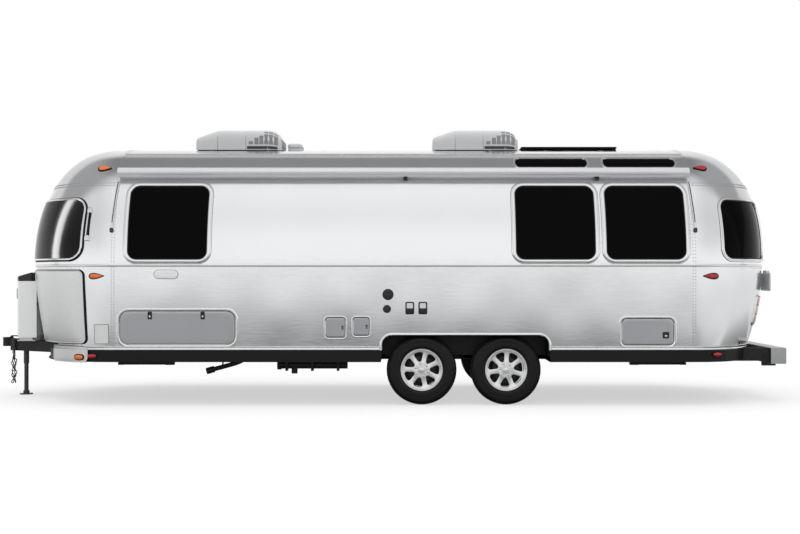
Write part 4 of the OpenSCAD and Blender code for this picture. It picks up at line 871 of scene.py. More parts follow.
bezels, clusters, backs = [], [], []
cluster_lenses = [(0.0, 0.09, "red"), (0.098, 0.09, "amber"), (0.196, 0.085, "red")]
for s in (-1, 1):
    u0 = s * run_at(30) - run_at(4.2)
    hole = (u0, -0.638, 2 * run_at(4.2), 0.30, 0.03)
    bezels.append(rim_around(hole, [(0.016, -0.004), (0.015, 0.005), (0.010, 0.010), (0.002, 0.012),
                                    (-0.002, 0.009), (-0.002, -0.004)], rear_face))
    backs.append(panel(hole, 0.0, flat_rise(0.006), 0.012, rear_face))
    for rise, tall, tone in cluster_lenses:
        lens_hole = (u0 + 0.008, -0.630 + rise, hole[2] - 0.016, tall, 0.016)
        clusters.append((tone, panel(lens_hole, 0, lambda k: 0.010 + 0.006 * (1 - k ** 5), 0.012, rear_face, 12)))
build("lamp_bezels", bezels, trim_metal)
build("lamp_bases", front_bases + rear_bases + backs, gasket_and_shadow_black)
build("amber_lenses", front_lenses + [c for tone, c in clusters if tone == "amber"], amber,
      ["amber_markers"])
build("red_lenses", rear_lenses + [c for tone, c in clusters if tone == "red"], red,
      ["tail_lamps"])

# ---- wall fittings -----------------------------------------------------------------------
# Black round inlets with screwed caps, two framed hatches with hinged covers, a blank badge
# plate, hinge leaves and the grab handle, all screwed to the wall over thin seals.

fitting_black = finish("fitting_black", (0.012, 0.012, 0.013), 0.34, mottle=0.35, size=6, grain=400,
                       bump=0.12, grit=0.15)
cover_white = finish("cover_white", (0.70, 0.71, 0.71), 0.4, mottle=0.06, size=4, grain=300,
                     bump=0.08, grit=0.1)


def wall_spot(side, x, z):
    """Frame of one point of the flat wall: the point, along, up and outwards."""
    along = np.array([[1.0, 0, 0]]) * side * -1
    return (np.array([[mid_x + x, side * half_w, z]]), along, np.array([[0, 0, 1.0]]), np.array([[0, side * 1.0, 0]]))


def flat_face(side):
    """The flat wall below the belt as a surface of (x, height, off the skin)."""
    return lambda u, v, d: flat_wall(side, u, v, d)


near = flat_face(-1)
cap_rings = [(0, -0.004), (1, -0.004), (1, 0.004), (0.96, 0.0060), (0.80, 0.0064), (0.78, 0.0088), (0.72, 0.0096),
             (0, 0.0098)]
inlets = [turned(wall_spot(-1, -0.159, 1.146), 0.058, 0.058, cap_rings, sides=40),
          turned(wall_spot(-1, -0.170, 0.997), 0.042, 0.042, cap_rings, sides=36),
          turned(wall_spot(-1, -0.159, 1.146), 0.020, 0.030,
                 [(0, 0.008), (1, 0.008), (1, 0.0112), (0, 0.0115)], 4, 20),
          turned(wall_spot(-1, -0.170, 0.997), 0.014, 0.022,
                 [(0, 0.008), (1, 0.008), (1, 0.0112), (0, 0.0115)], 4, 20)]
covers = []
for x0, x1 in ((0.018, 0.112), (0.152, 0.246)):
    hatch = (x0 + 0.006, 0.946, x1 - x0 - 0.012, 0.120, 0.012)
    inlets.append(rim_around(hatch, [(0.005, -0.004), (0.005, 0.006), (0.002, 0.0098), (-0.006, 0.0098),
                                     (-0.008, 0.004), (-0.008, -0.004)], near))
    inlets.append(panel(hatch, -0.006, flat_rise(0.0015), 0.004, near))
    upper = (x0 + 0.015, 1.004, x1 - x0 - 0.030, 0.054, 0.008)
    lower = (x0 + 0.015, 0.955, x1 - x0 - 0.030, 0.044, 0.008)
    covers.append(panel(upper, 0, lambda k: 0.0085 - 0.001 * k ** 6, 0.008, near))
    inlets.append(panel(lower, 0, lambda k: 0.0045 + 0.002 * (1 - k ** 6), 0.005, near))
build("wall_inlets", inlets, fitting_black)
build("hatch_covers", covers, cover_white)

screw_head = [(0, -0.002), (1, -0.002), (1, 0.0016), (0.6, 0.0026), (0, 0.0028)]
handle_x = door_hole[0] + 0.0085 + 0.716 + 0.095
line = np.linspace(0, 1, 33)
reach_out_y = half_w + 0.058 - 0.058 * np.clip(np.abs(2 * line - 1) * 7.5 - 6.5, 0, 1) ** 2
spine = np.stack([mid_x + handle_x + 0 * line, reach_out_y, 0.995 + 0.440 * line], -1)
turn = full_turn(16)
grip = spine[None] + 0.0135 * (np.cos(turn)[:, None, None] * np.array([1.0, 0, 0])
                               + np.sin(turn)[:, None, None] * np.array([0, 1.0, 0.0]))
leaves = [capped(grip)]
leaves += [turned(wall_spot(1, handle_x, z), 0.030, 0.026,
                  [(0, -0.003), (1, -0.003), (1, 0.003), (0.9, 0.0055), (0, 0.006)],
                  sides=28) for z in (0.999, 1.431)]
badge = (-2.566, 1.306, 0.250, 0.092, 0.045)
leaves.append(panel(badge, 0.0, lambda k: 0.0034 + 0.0004 * (1 - k ** 8), 0.005, near))


def hinge_leaf(side, x, z, w, h, thick=0.003):
    """A thin rounded plate against the wall and its screws: one for each 70 mm of its longer side, at least two."""
    surface = flat_face(side)
    leaf = panel((x, z, w, h, 0.004), 0, lambda k: thick - 0.0008 * k ** 8, thick + 0.003, surface, 5)
    long_way = w > h
    n = max(2, int((w if long_way else h) / 0.07))
    t = (np.arange(n) + 0.5) / n
    sx, sz = (x + w * t, z + h / 2 + 0 * t) if long_way else (x + w / 2 + 0 * t, z + h * t)
    spots = [wall_spot(side, a, b) for a, b in zip(sx, sz)]
    heads = turned(joined(spots), 0.0035, 0.0035, [(r, d + thick) for r, d in screw_head], sides=8)
    return [leaf, heads]


def barrel(x, y, z0, z1, r, upright_way=True):
    """A hinge barrel: a round bar on its pin line, its ends closed."""
    t = full_turn(14)
    run = np.linspace(0, 1, 3)
    a, b = r * np.cos(t)[:, None], r * np.sin(t)[:, None]
    if upright_way:
        ring = np.stack([mid_x + x + a + 0 * run, y + b + 0 * run, z0 + (z1 - z0) * run + 0 * a], -1)
    else:
        ring = np.stack([mid_x + x + (z1 - z0) * run + 0 * a, y + b + 0 * run, z0 + a + 0 * run], -1)
    return capped(ring)


lid_pin = half_w + 0.006
door_pin = (door_hole[0] + 0.0005, half_w + 0.013)
for z in (0.740, 1.010, 1.290):
    leaves += hinge_leaf(1, door_hole[0] - 0.036, z + 0.001, 0.026, 0.065, 0.0045)
    leaves += [barrel(door_pin[0], door_pin[1], z + 0.0003, z + 0.0217, 0.0064),
               barrel(door_pin[0], door_pin[1], z + 0.0453, z + 0.0667, 0.0064)]
u0, v0, w, h, r = lid_holes["front_locker_lid"]
leaves += hinge_leaf(-1, u0 + r + 0.006, v0 - 0.026, w - 2 * r - 0.012, 0.017, 0.0022)
for name in ("rear_locker_lid", "service_lid_front", "service_lid_rear"):
    u0, v0, w, h, r = lid_holes[name]
    leaves += hinge_leaf(-1, u0 - 0.024, v0 + r + 0.004, 0.015, h - 2 * r - 0.008, 0.0022)
build("wall_hardware", leaves, trim_metal, ["wall_fittings"])
badge_ring = rim_around(badge, [(0.0015, -0.003), (0.0015, 0.0036), (-0.0022, 0.0040), (-0.0022, 0.003)], near)
build("badge_outline", [badge_ring], fitting_black)
blank_plate = (plan_run[0] + 0.040, 0.640 - belt_z, 0.150, 0.196, 0.012)
rim = rim_around(blank_plate, [(0.003, -0.003), (0.003, 0.0024), (-0.001, 0.0026), (-0.001, -0.003)], front_face)
build("data_plate_edge", [rim], fitting_black)
build("data_plate", [panel(blank_plate, 0, lambda k: 0.0018 - 0.0004 * k ** 8, 0.004, front_face)], cover_white)

# ---- locker and service lids ---------------------------------------------------------------
# Shallow aluminium pans that fill their openings, brushed a little darker than the wall, each
# in a bright frame on the wall, on a strip hinge and held by black push latches.

lid_metal = finish("lid_metal", (0.50, 0.51, 0.53), 0.36, metal=1.0, mottle=0.05, size=2, grain=(6, 6, 160),
                   bump=0.05, grit=0.2)
latch_face = [(0, -0.004), (1, -0.004), (1, 0.004), (0.93, 0.0085), (0.80, 0.0092), (0.76, 0.006), (0, 0.0058)]
frame_ring = [(0.0065, -0.004), (0.0065, 0.0022), (0.010, 0.0046), (0.030, 0.0052), (0.034, 0.0030), (0.034, -0.004)]
small_ring = [(0.0065, -0.004), (0.0065, 0.0020), (0.009, 0.0040), (0.020, 0.0044), (0.023, 0.0026), (0.023, -0.004)]
rings = []
for name, hole in lid_holes.items():
    u0, v0, w, h, r = hole
    rings.append(rim_around(hole, frame_ring if "locker" in name else small_ring, near))
    pans = [panel(hole, 0.0, lambda k: 0.0045 - 0.0022 * np.clip(k - 0.93, 0, 1) / 0.07, 0.036, near, 24)]
    inner = (u0 + 0.05, v0 + 0.045, w - 0.10, h - 0.09, max(r - 0.03, 0.012))
    if "locker" in name:
        pans.append(rim_around(inner, [(-0.004, 0.002), (-0.003, 0.0062), (0.003, 0.0062), (0.004, 0.002)], near))
    build(name + "_pan", pans, lid_metal, [name], body=name)
    if name == "front_locker_lid":
        spots = [(u0 + w * t, v0 + h - 0.082 + 0.040, 0.023, 0.040) for t in (0.26, 0.72)]
        hinge = [barrel(u0 + r + 0.01, -lid_pin, v0 - 0.003, v0 - 0.003 + w - 2 * r - 0.02, 0.0042, False)]
    elif name == "rear_locker_lid":
        spots = [(u0 + w - 0.078, v0 + 0.100, 0.034, 0.034)]
        hinge = [barrel(u0 - 0.003, -lid_pin, v0 + r + 0.01, v0 + h - r - 0.01, 0.0042)]
    else:
        spots = [(u0 + w - 0.024, v0 + h / 2, 0.010, 0.020)]
        hinge = [barrel(u0 - 0.003, -lid_pin, v0 + r + 0.006, v0 + h - r - 0.006, 0.0042)]
    build(name + "_hinge", hinge, trim_metal, body=name)
    build(name + "_latch", [turned(wall_spot(-1, x, z), a, b, [(s, d + 0.002) for s, d in latch_face], 7, 36)
                            for x, z, a, b in spots], fitting_black, body=name)
    build(name + "_button", [turned(wall_spot(-1, x, z - 0.25 * b), a * 0.42, b * 0.30,
                                    [(0, 0.006), (1, 0.006), (0.9, 0.0110), (0, 0.0114)], 4, 20)
                             for x, z, a, b in spots], trim_metal, body=name)
build("lid_frames", rings, trim_metal)

# ---- entry door ----------------------------------------------------------------------------
# A riveted aluminium door that follows the roll of the wall, with a dark window in its own
# frame, a paddle handle with a lock below it, and three hinges on its front edge.

paint(shell_metal, "entry_door")
paint(pane_black, "door_glass")
door_face = wall_face(1)
door_leaf = (door_hole[0] + 0.0085, 0.668, 0.716, 1.642, 0.070)
door_pane = (door_leaf[0] + 0.148, 1.530, 0.420, 0.590, 0.070)
door_parts = [rim_around(door_pane, [(0.030, 0.004), (0.0295, 0.0095), (0.026, 0.0115), (0.010, 0.0125),
                                     (0.002, 0.0110), (-0.002, 0.006), (-0.002, -0.003), (0.002, -0.003)], door_face)]
u, v = outline(widened(door_leaf, -0.022), 0, 8, 0.045)
between_ends = (v > 0.70) & (v < 2.28)
door_parts.append(turned(frames_on(door_face, u[between_ends], v[between_ends]), 0.0045, 0.0045, rivet_head, sides=8))
frame_line = widened(door_leaf, -0.035)
door_parts.append(rim_around(frame_line, [(0.0015, -0.001), (0.001, 0.0016), (-0.001, 0.0016),
                                          (-0.0015, -0.001)], door_face))
build("door_trim", door_parts, trim_metal, body="entry_door")


handle_parts = [turned(wall_spot(1, -1.084, 1.305), 0.054, 0.050,
                       [(0, -0.002), (1, -0.002), (1, 0.010), (0.94, 0.0165), (0.80, 0.0175), (0.76, 0.0165),
                        (0, 0.0165)], 6, 40),
                turned(wall_spot(1, -1.084, 1.305), 0.040, 0.030,
                       [(0, 0.015), (1, 0.015), (0.96, 0.021), (0.80, 0.024), (0, 0.026)], 4, 32),
                turned(wall_spot(1, -1.084, 1.205), 0.021, 0.026,
                       [(0, -0.002), (1, -0.002), (1, 0.008), (0.88, 0.0108), (0, 0.0112)], 5, 28)]
build("door_handle", handle_parts, fitting_black, body="entry_door")
hinge_parts = [turned(wall_spot(1, -1.084, 1.207), 0.0075, 0.0075,
                      [(0, 0.010), (1, 0.010), (0.9, 0.0125), (0, 0.0128)], 2, 16)]
for z in (0.740, 1.010, 1.290):
    hinge_parts += [barrel(door_pin[0], door_pin[1], z + 0.0228, z + 0.0442, 0.0064)]
    hinge_parts += hinge_leaf(1, door_leaf[0] + 0.008, z + 0.0235, 0.026, 0.020, 0.0095)
build("door_hinge_leaves", hinge_parts, trim_metal, body="entry_door")

# ---- cabin ---------------------------------------------------------------------------------
# Birch-veneered furniture and benches, black lined lockers, and a quilted mattress on the bed
# platform across the back.

birch = finish("birch", (0.50, 0.36, 0.22), 0.45, mottle=0.22, size=(1.2, 1.2, 14), grain=(3, 3, 90),
               bump=0.08, grit=0.2)
paint(birch, "cabin_furniture")
paint(chassis_black, "lockers")
bed_cloth = finish("bed_cloth", (0.52, 0.53, 0.55), 0.85, mottle=0.12, size=5, grain=700, bump=0.5, grit=0.1,
                   bump_size=0.0015)
bed_lo, bed_hi = (np.array(c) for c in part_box("bed_mattress"))
bed_half = (bed_hi - bed_lo) / 2
t = full_turn(192)
share = np.array([0, 0.3, 0.6, 0.86, 0.955, 0.985, 0.992, 0.985, 0.975, 0.972, 0.975, 0.985, 0.992, 0.985, 0.955,
                  0.90, 0.82, 0.74, 0.66, 0.58, 0.50, 0.42, 0.34, 0.26, 0.18, 0.10, 0.0])
level = np.array([0.002, 0.002, 0.002, 0.002, 0.006, 0.014, 0.022, 0.026, 0.045, 0.090, 0.135, 0.158, 0.163,
                  0.171, 0.179] + [0.182] * 12)
p, q = np.meshgrid(t, share)
flat = (np.arange(len(share)) > 13)[:, None]
x = q * bed_half[0] * signed_power(np.cos(p), 0.16)
y = q * bed_half[1] * signed_power(np.sin(p), 0.16)
quilt = 0.006 * flat * (np.sin(x * 26) ** 2 * np.sin(y * 26) ** 2 - 0.6)
points = np.stack([(bed_lo[0] + bed_hi[0]) / 2 + x, y, bed_lo[2] + level[:, None] + quilt + 0 * p], -1)
mattress = build("quilted_mattress", [as_faces(points, cols_close=True)], bed_cloth,
                 ["bed_mattress"], sharp=75)

# ---- awnings -------------------------------------------------------------------------------
# Rolled vinyl in a bright aluminium tube on each side, carried at the ends by curved lift arms
# that lie on the wall, and by two cast brackets between the windows.

awning_white = finish("awning_white", (0.78, 0.79, 0.80), 0.3, metal=0.35, mottle=0.04, size=2, grain=(4, 300, 300),
                      bump=0.04, grit=0.1)
awning_dark = finish("awning_dark", (0.03, 0.03, 0.032), 0.4, mottle=0.3, size=8, grain=300, bump=0.1)
roll_r, roll_angle = 0.044, np.radians(35)
roll_y, roll_z = (float(c) for c in section(roll_angle, roll_r + 0.0235) + np.array([0, 0.012]))
lip = [(-150, 0.0), (-120, 0.0), (-112, 0.0035), (-100, 0.0045), (-90, 0.0035), (-86, -0.004), (-80, -0.004),
       (-76, 0.0)]
turns = np.concatenate([[a for a, d in lip], np.arange(-64, 200, 12)])
swell = np.concatenate([[d for a, d in lip], np.zeros(len(np.arange(-64, 200, 12)))])


def tube_points(side, x, angle, radius):
    """Points round the awning roll: angle in degrees from the outward level direction, upwards."""
    a = np.radians(angle)
    return np.stack([mid_x + x + 0 * a, side * (roll_y + radius * np.cos(a)),
                     roll_z + radius * np.sin(a) + 0 * x], -1)


rolls, ends, arms, feet = [], [], [], []
roll_run = np.array([-1, -1, -0.999, -0.35, 0.35, 0.999, 1, 1]) * (half_straight - 0.004)
roll_thin = np.array([0.86, 0.97, 1, 1, 1, 1, 0.97, 0.86])
for side in (-1, 1):
    x, a = np.meshgrid(roll_run, turns)
    grid = tube_points(side, x, a, (roll_r + swell[:, None]) * roll_thin[None])
    rolls.append(capped(grid))
    for end in (-1, 1):
        foot, x = np.radians(13 if side < 0 else 7), end * (half_straight - 0.012)
        v = np.linspace(foot, roll_angle - 0.004, 28)
        t = (v - foot) / (roll_angle - foot)
        lean = end * -0.030 * (1 - t)
        surface = on_face("left" if side < 0 else "right")
        arm = [surface(x - lean + across * end, v, np.full(28, d))
               for across, d in ((-0.013, 0.002), (-0.013, 0.017), (-0.009, 0.022), (0.009, 0.022),
                                 (0.013, 0.017), (0.013, 0.002))]
        arms.append(capped(np.stack(arm)))
        slot = [surface(x - lean[3:-3] + across * end, v[3:-3], np.full(22, d))
                for across, d in ((-0.005, 0.018), (-0.005, 0.0228), (0.005, 0.0228), (0.005, 0.018))]
        feet.append(capped(np.stack(slot)))
        here = frames_on(surface, x - lean[0], foot - 0.006)
        feet.append(turned(here, 0.019, 0.024, [(0, -0.003), (1, -0.003), (1, 0.018), (0.85, 0.026),
                                                (0, 0.027)], 4, 28))
        feet.append(turned((np.array([[mid_x + end * (half_straight - 0.004), side * roll_y, roll_z]]),
                            np.array([[0, -1.0 * end, 0]]), np.array([[0, 0, 1.0]]), np.array([[end * 1.0, 0, 0]])),
                           roll_r * 0.62, roll_r * 0.62,
                           [(0, -0.01), (1, -0.01), (1, 0.0025), (0.6, 0.0035), (0, 0.0035)], 2, 28))
    for x in (0.0, (vista_windows[0] + vista_windows[1]) / 2 - 0.020):
        surface = on_face("left" if side < 0 else "right")
        cradle = []
        for off, lift in ((-1.4, 0.0), (-1.4, 0.012), (0.2, 0.024), (3.4, 0.046), (4.7, 0.050), (5.6, 0.036),
                          (6.0, 0.012), (6.0, 0.0)):
            v = np.full(4, roll_angle + np.radians(off))
            cradle.append(surface(x + np.array([0.0, 0.002, 0.038, 0.040]), v, np.full(4, lift)))
        feet.append(capped(np.stack(cradle)))
build("awning_rolls", rolls, awning_white, ["awnings"])
build("awning_arms", arms, awning_white)
build("awning_feet", feet, awning_dark)

# ---- roof air conditioners -------------------------------------------------------------------
# Moulded light grey shrouds with a sloped nose, a seam behind it, and a grille of upright
# slats over the rear third, standing on a dark foam gasket.

shroud_grey = finish("shroud_grey", (0.56, 0.57, 0.58), 0.42, mottle=0.06, size=3, grain=260,
                     bump=0.1, grit=0.1)
crown_z = float(section(np.pi / 2)[1])


def roof_height(y):
    """Height of the roof's skin at y: the circle of the top arc."""
    return arc_mid[2][1] + np.sqrt(arc_r[2] ** 2 - y ** 2)


def shroud_at(x, lengthwise, rise):
    """Half width and top height of a shroud at x, from its profile along the unit."""
    t = (x - lengthwise[0]) / (lengthwise[1] - lengthwise[0])
    top = np.interp(t, [0, 0.02, 0.22, 0.245, 0.30, 0.84, 0.90, 0.95, 0.985, 1.0],
                    [0.60, 0.68, 0.955, 0.985, 1, 1, 0.965, 0.84, 0.62, 0.46])
    wide = np.interp(t, [0, 0.03, 0.25, 0.85, 0.96, 1.0], [0.318, 0.338, 0.358, 0.358, 0.338, 0.300])
    return wide, top * rise


def shroud_side(side, lengthwise, base, rise, power=5.0):
    """Side of a shroud as a surface of (x, share of the height times rise, outwards)."""
    def surface(u, v, d):
        wide, tall = shroud_at(u, lengthwise, rise)
        q = np.clip(v / rise, 0, 0.999)
        y = (wide + d) * (1 - q ** power) ** (1 / power)
        return np.stack([mid_x + u + 0 * v, side * y, base + q * tall + d * q ** power], -1)
    return surface


grille_grey = finish("grille_grey", (0.24, 0.245, 0.25), 0.5, mottle=0.2, size=4, grain=300, bump=0.15, grit=0.1)
shrouds, cells, mouths, skirts, seams = [], [], [], [], []
ac_top = 2.9695
base = roof_height(0.358) + 0.010
for lengthwise in ((-2.292, -1.352), (0.330, 1.266)):
    rise = ac_top - base
    x = np.concatenate([[lengthwise[0]], np.linspace(lengthwise[0] + 0.008, lengthwise[1] - 0.004, 46),
                        [lengthwise[1]]])
    wide, tall = shroud_at(x, lengthwise, rise)
    ring = []
    for a in np.linspace(0, np.pi, 57):
        c, s = np.cos(a), np.sin(a)
        ring.append(np.stack([mid_x + x, wide * signed_power(c, 0.4), base + tall * abs(s) ** 0.4
                              - 0.028 * (abs(c) ** 0.8) * (tall / rise) * (abs(s) > 0.6)], -1))
    for y in np.linspace(-0.98, 0.98, 9):
        ring.append(np.stack([mid_x + x, wide * y, roof_height(wide * y) + 0.006 * np.ones(len(x))], -1))
    shrouds.append(capped(np.stack(ring)))
    skirt = []
    for d, z in ((0.006, -0.004), (0.006, 0.009), (-0.014, 0.009), (-0.014, -0.004)):
        t = full_turn(64)
        cx = (lengthwise[0] + lengthwise[1]) / 2
        px = cx + (0.462 + d) * signed_power(np.cos(t), 0.2)
        py = (0.325 + d) * signed_power(np.sin(t), 0.2)
        skirt.append(np.stack([mid_x + px, py, roof_height(py) + z], -1))
    skirts.append(as_faces(np.stack(skirt), rows_close=True, cols_close=True))
    span = lengthwise[1] - lengthwise[0]
    for side in (-1, 1):
        surface = shroud_side(side, lengthwise, base, rise)
        for k in range(5):
            a, b = 0.690 + 0.056 * k, 0.738 + 0.056 * k
            low = (lengthwise[0] + a * span, 0.250 * rise, (b - a) * span,
                   (0.46 if k > 1 else 0.40 if k else 0.30) * rise, 0.006)
            openings = [low]
            if k > 1:
                openings.append((lengthwise[0] + a * span, 0.765 * rise, (b - a) * span, 0.070 * rise, 0.005))
            cells += [panel(cell, 0, flat_rise(0.0016), 0.004, surface, 5) for cell in openings]
        wedge = (lengthwise[0] + 0.622 * span, 0.250 * rise, 0.050 * span, 0.14 * rise, 0.006)
        cells.append(panel(wedge, 0, flat_rise(0.0016), 0.004, surface, 5))
        mouth = (lengthwise[0] + 0.60 * span, 0.030 * rise, 0.36 * span, 0.135 * rise, 0.012)
        mouths.append(panel(mouth, 0, flat_rise(0.0012), 0.004, surface, 5))
        for x0 in (0.255, 0.585):
            seam = (lengthwise[0] + x0 * span, 0.0, 0.0030, 0.84 * rise, 0.0012)
            seams.append(panel(seam, 0, flat_rise(0.0010), 0.003, surface, 3))
    back = lambda u, v, d, lengthwise=lengthwise, rise=rise: np.stack(
        [mid_x + lengthwise[1] + d + 0 * u, u + 0 * v, base + v + 0 * u], -1)
    for k in range(5):
        cell = (-0.24 + 0.098 * k, 0.03, 0.086, 0.40 * rise, 0.006)
        cells.append(panel(cell, 0, flat_rise(0.0016), 0.004, back, 3))
build("air_conditioner_shrouds", shrouds, shroud_grey, ["air_conditioners"])
build("air_conditioner_grilles", cells, grille_grey)
build("air_conditioner_mouths", mouths + seams, awning_dark)
build("air_conditioner_gaskets", skirts, gasket_and_shadow_black)

# ---- roof vent and solar panel ---------------------------------------------------------------
# A moulded vent dome with ribs between its two tiers, and a framed solar panel of dark
# cells that stands on eight short feet screwed to the roof.

level_frame = (np.array([[mid_x - 1.217, 0, crown_z - 0.006]]), np.array([[1.0, 0, 0]]),
               np.array([[0, 1.0, 0]]), np.array([[0, 0, 1.0]]))
dome = [(0, -0.002), (1, -0.002), (1, 0.020), (0.97, 0.026), (0.90, 0.028), (0.90, 0.034), (1.0, 0.038),
        (1.0, 0.056), (0.96, 0.070), (0.86, 0.081), (0.5, 0.0865), (0, 0.088)]
vents = [turned(level_frame, 0.079, 0.189, dome, 5, 64)]
for y in np.linspace(-0.15, 0.15, 9):
    for rib in (-1, 1):
        spot = (np.array([[mid_x - 1.217 + rib * 0.074, y, crown_z + 0.034]]), *level_frame[1:])
        vents.append(turned(spot, 0.0052, 0.006, [(0, 0), (1, 0), (1, 0.022), (0.7, 0.026), (0, 0.026)], 4, 12))
for x in np.linspace(-0.056, 0.056, 6):
    for rib in (-1, 1):
        spot = (np.array([[mid_x - 1.217 + x, rib * 0.184, crown_z + 0.030]]), *level_frame[1:])
        vents.append(turned(spot, 0.0045, 0.0052, [(0, -0.02), (1, -0.02), (1, 0.026), (0.7, 0.030),
                                                   (0, 0.030)], 4, 12))
build("roof_vent_dome", vents, shroud_grey, ["roof_fittings"])

solar_glass = finish("solar_glass", (0.010, 0.014, 0.030), 0.12, mottle=0.3, size=6, grain=200, bump=0.02,
                     specular=0.4)
flat_roof = lambda u, v, d: np.stack([mid_x + u + 0 * v, v + 0 * u, crown_z + 0.008 + d + 0 * u * v], -1)
tray = (1.305, -0.31, 1.055, 0.62, 0.010)
edge = [(0, -0.0005), (0, 0.0135), (-0.002, 0.0155), (-0.026, 0.0155), (-0.028, 0.0135), (-0.028, -0.0005)]
frame_parts = [rim_around(tray, edge, flat_roof)]
for x in (1.335, 2.330):
    for y in (-0.27, -0.09, 0.09, 0.27):
        spot = (np.array([[mid_x + x, y, roof_height(y) - 0.002]]), *level_frame[1:])
        lift = crown_z + 0.012 - roof_height(y)
        frame_parts.append(turned(spot, 0.024, 0.018,
                                  [(0, 0), (1.25, 0), (1.25, 0.003), (1, 0.004), (1, lift), (0, lift)], 7, 28))
build("solar_frame", frame_parts, gasket_and_shadow_black)
sheets = []
for i in range(6):
    for j in range(4):
        sheets.append(panel((1.335 + 0.166 * i, -0.280 + 0.1405 * j, 0.162, 0.1365, 0.004), 0,
                            flat_rise(0.0128), 0.004, flat_roof, 3))
build("solar_cells", sheets, solar_glass)
build("solar_back", [panel(tray, -0.0275, flat_rise(0.0110), 0.008, flat_roof, 3)], gasket_and_shadow_black)

# ---- wheels --------------------------------------------------------------------------------
# Cast alloy rims with seven flared spokes, a stepped lip, six hex nuts and a domed cap, in
# front of dark drums. Each turns on its own hub.

alloy = finish("alloy", (0.90, 0.905, 0.91), 0.3, metal=0.5, mottle=0.04, size=6, grain=300, bump=0.06,
               grit=0.15)
drum_black = finish("drum_black", (0.02, 0.02, 0.021), 0.55, metal=0.3, mottle=0.4, size=12, grain=200,
                    bump=0.15, grit=0.2)
rim_section = [(0.2178, 0.0880), (0.2178, 0.0940), (0.2155, 0.0965), (0.2105, 0.0962), (0.2090, 0.0925),
               (0.2030, 0.0890), (0.2000, 0.0860), (0.1985, 0.0740), (0.1975, 0.0660), (0.1900, 0.0560),
               (0.1850, 0.0420), (0.1840, -0.0300), (0.1960, -0.0850), (0.2125, -0.0962), (0.2178, -0.0940),
               (0.2178, -0.0880), (0.2040, -0.0865), (0.2010, -0.0700), (0.1890, -0.0500), (0.1890, 0.0500),
               (0.2010, 0.0700), (0.2040, 0.0865)]


def revolved(centre, side, section_points, sides=96):
    """A ring: its closed section of (radius, distance outwards) turned about the wheel's axis."""
    radius, out = np.array(section_points).T
    t = full_turn(sides)
    points = np.stack([centre[0] + np.outer(radius, np.cos(t)), centre[1] + side * (out[:, None] + 0 * t),
                       centre[2] + np.outer(radius, np.sin(t))], -1)
    return as_faces(points, rows_close=True, cols_close=True)


def spoked_face(centre, side, first):
    """Cast face: in polar lines, seven windows whose sides keep the spokes about as wide all along, with flared
    feet; the face sinks from the hub to the middle of the spokes and rises to the rim."""
    half, wide = 0.060, 1.42
    pitch = 2 * half * wide
    windows = [(k * pitch + half * (wide - 1), 0.084, 2 * half, 0.100, 0.020) for k in range(7)]
    offsets = np.concatenate([np.linspace(0, half * (wide - 1), 5)[:-1], half * (wide - 1)
                              + np.linspace(0, 2 * half, 19)[:-1],
                              half * (wide + 1) + np.linspace(0, half * (wide - 1), 5)[:-1]])
    u = np.concatenate([k * pitch + offsets for k in range(7)] + [[7 * pitch]])
    v = np.concatenate([[0.0, 0.02, 0.034, 0.046], np.linspace(0.056, 0.1875, 30), [0.193, 0.1985]])
    u, v, keep = cut_grid(u, v, windows)
    u, v = u[:, :-1], v[:, :-1]
    sector = np.floor(u / pitch + 1e-9)
    a = (u / pitch - sector - 0.5) * 2 * wide
    hub_flare, rim_flare = np.clip((0.105 - v) / 0.03, 0, 1) ** 2, np.clip((v - 0.150) / 0.035, 0, 1) ** 2
    spoke = 0.0235 + 0.030 * hub_flare * 0.35 + 0.016 * rim_flare
    window = np.maximum(np.pi / 7 - spoke / np.maximum(v, 0.02), 0.04)
    inside = window * np.minimum(np.abs(a), 1)
    beyond = (np.pi / 7 - window) * np.clip((np.abs(a) - 1) / (wide - 1), 0, 1)
    theta = first + 2 * np.pi / 7 * (sector + 0.5) + np.sign(a) * (inside + beyond)
    away = np.min([rounded(u, v, w)[0] for w in windows], axis=0)
    level = np.interp(v, [0, 0.045, 0.078, 0.095, 0.125, 0.16, 0.185, 0.1985],
                      [0.0665, 0.0665, 0.0655, 0.0600, 0.0560, 0.0570, 0.0610, 0.0660])
    out = level - 0.0055 * np.clip(1 - away / 0.011, 0, 1) ** 2
    nut_turn = np.mod(theta - first, np.pi / 3) - np.pi / 6
    out = out - 0.0035 * np.exp(-((v - 0.062) ** 2 + (0.062 * nut_turn) ** 2) / 0.012 ** 2)
    x, z = centre[0] + v * np.cos(theta), centre[2] + v * np.sin(theta)
    outer = np.stack([x, centre[1] + side * out, z], -1)
    thick = np.where(v < 0.06, 0.0105, 0.020)
    inner = np.stack([x, centre[1] + side * (out - thick), z], -1)
    return sheet_of(outer, inner, keep, cols_close=True)


def on_wheel(centre, side, x, z, out):
    """Frames that face outwards on a wheel, from its centre by x along and z up, out metres from its middle plane."""
    x, z = np.atleast_1d(x), np.atleast_1d(z)
    here = np.stack([centre[0] + x, np.full(len(x), centre[1] + side * out), centre[2] + z], -1)
    axes = [np.array([[-1.0 * side, 0, 0]]), np.array([[0, 0, 1.0]]), np.array([[0, 1.0 * side, 0]])]
    return (here, *[np.repeat(axis, len(x), 0) for axis in axes])


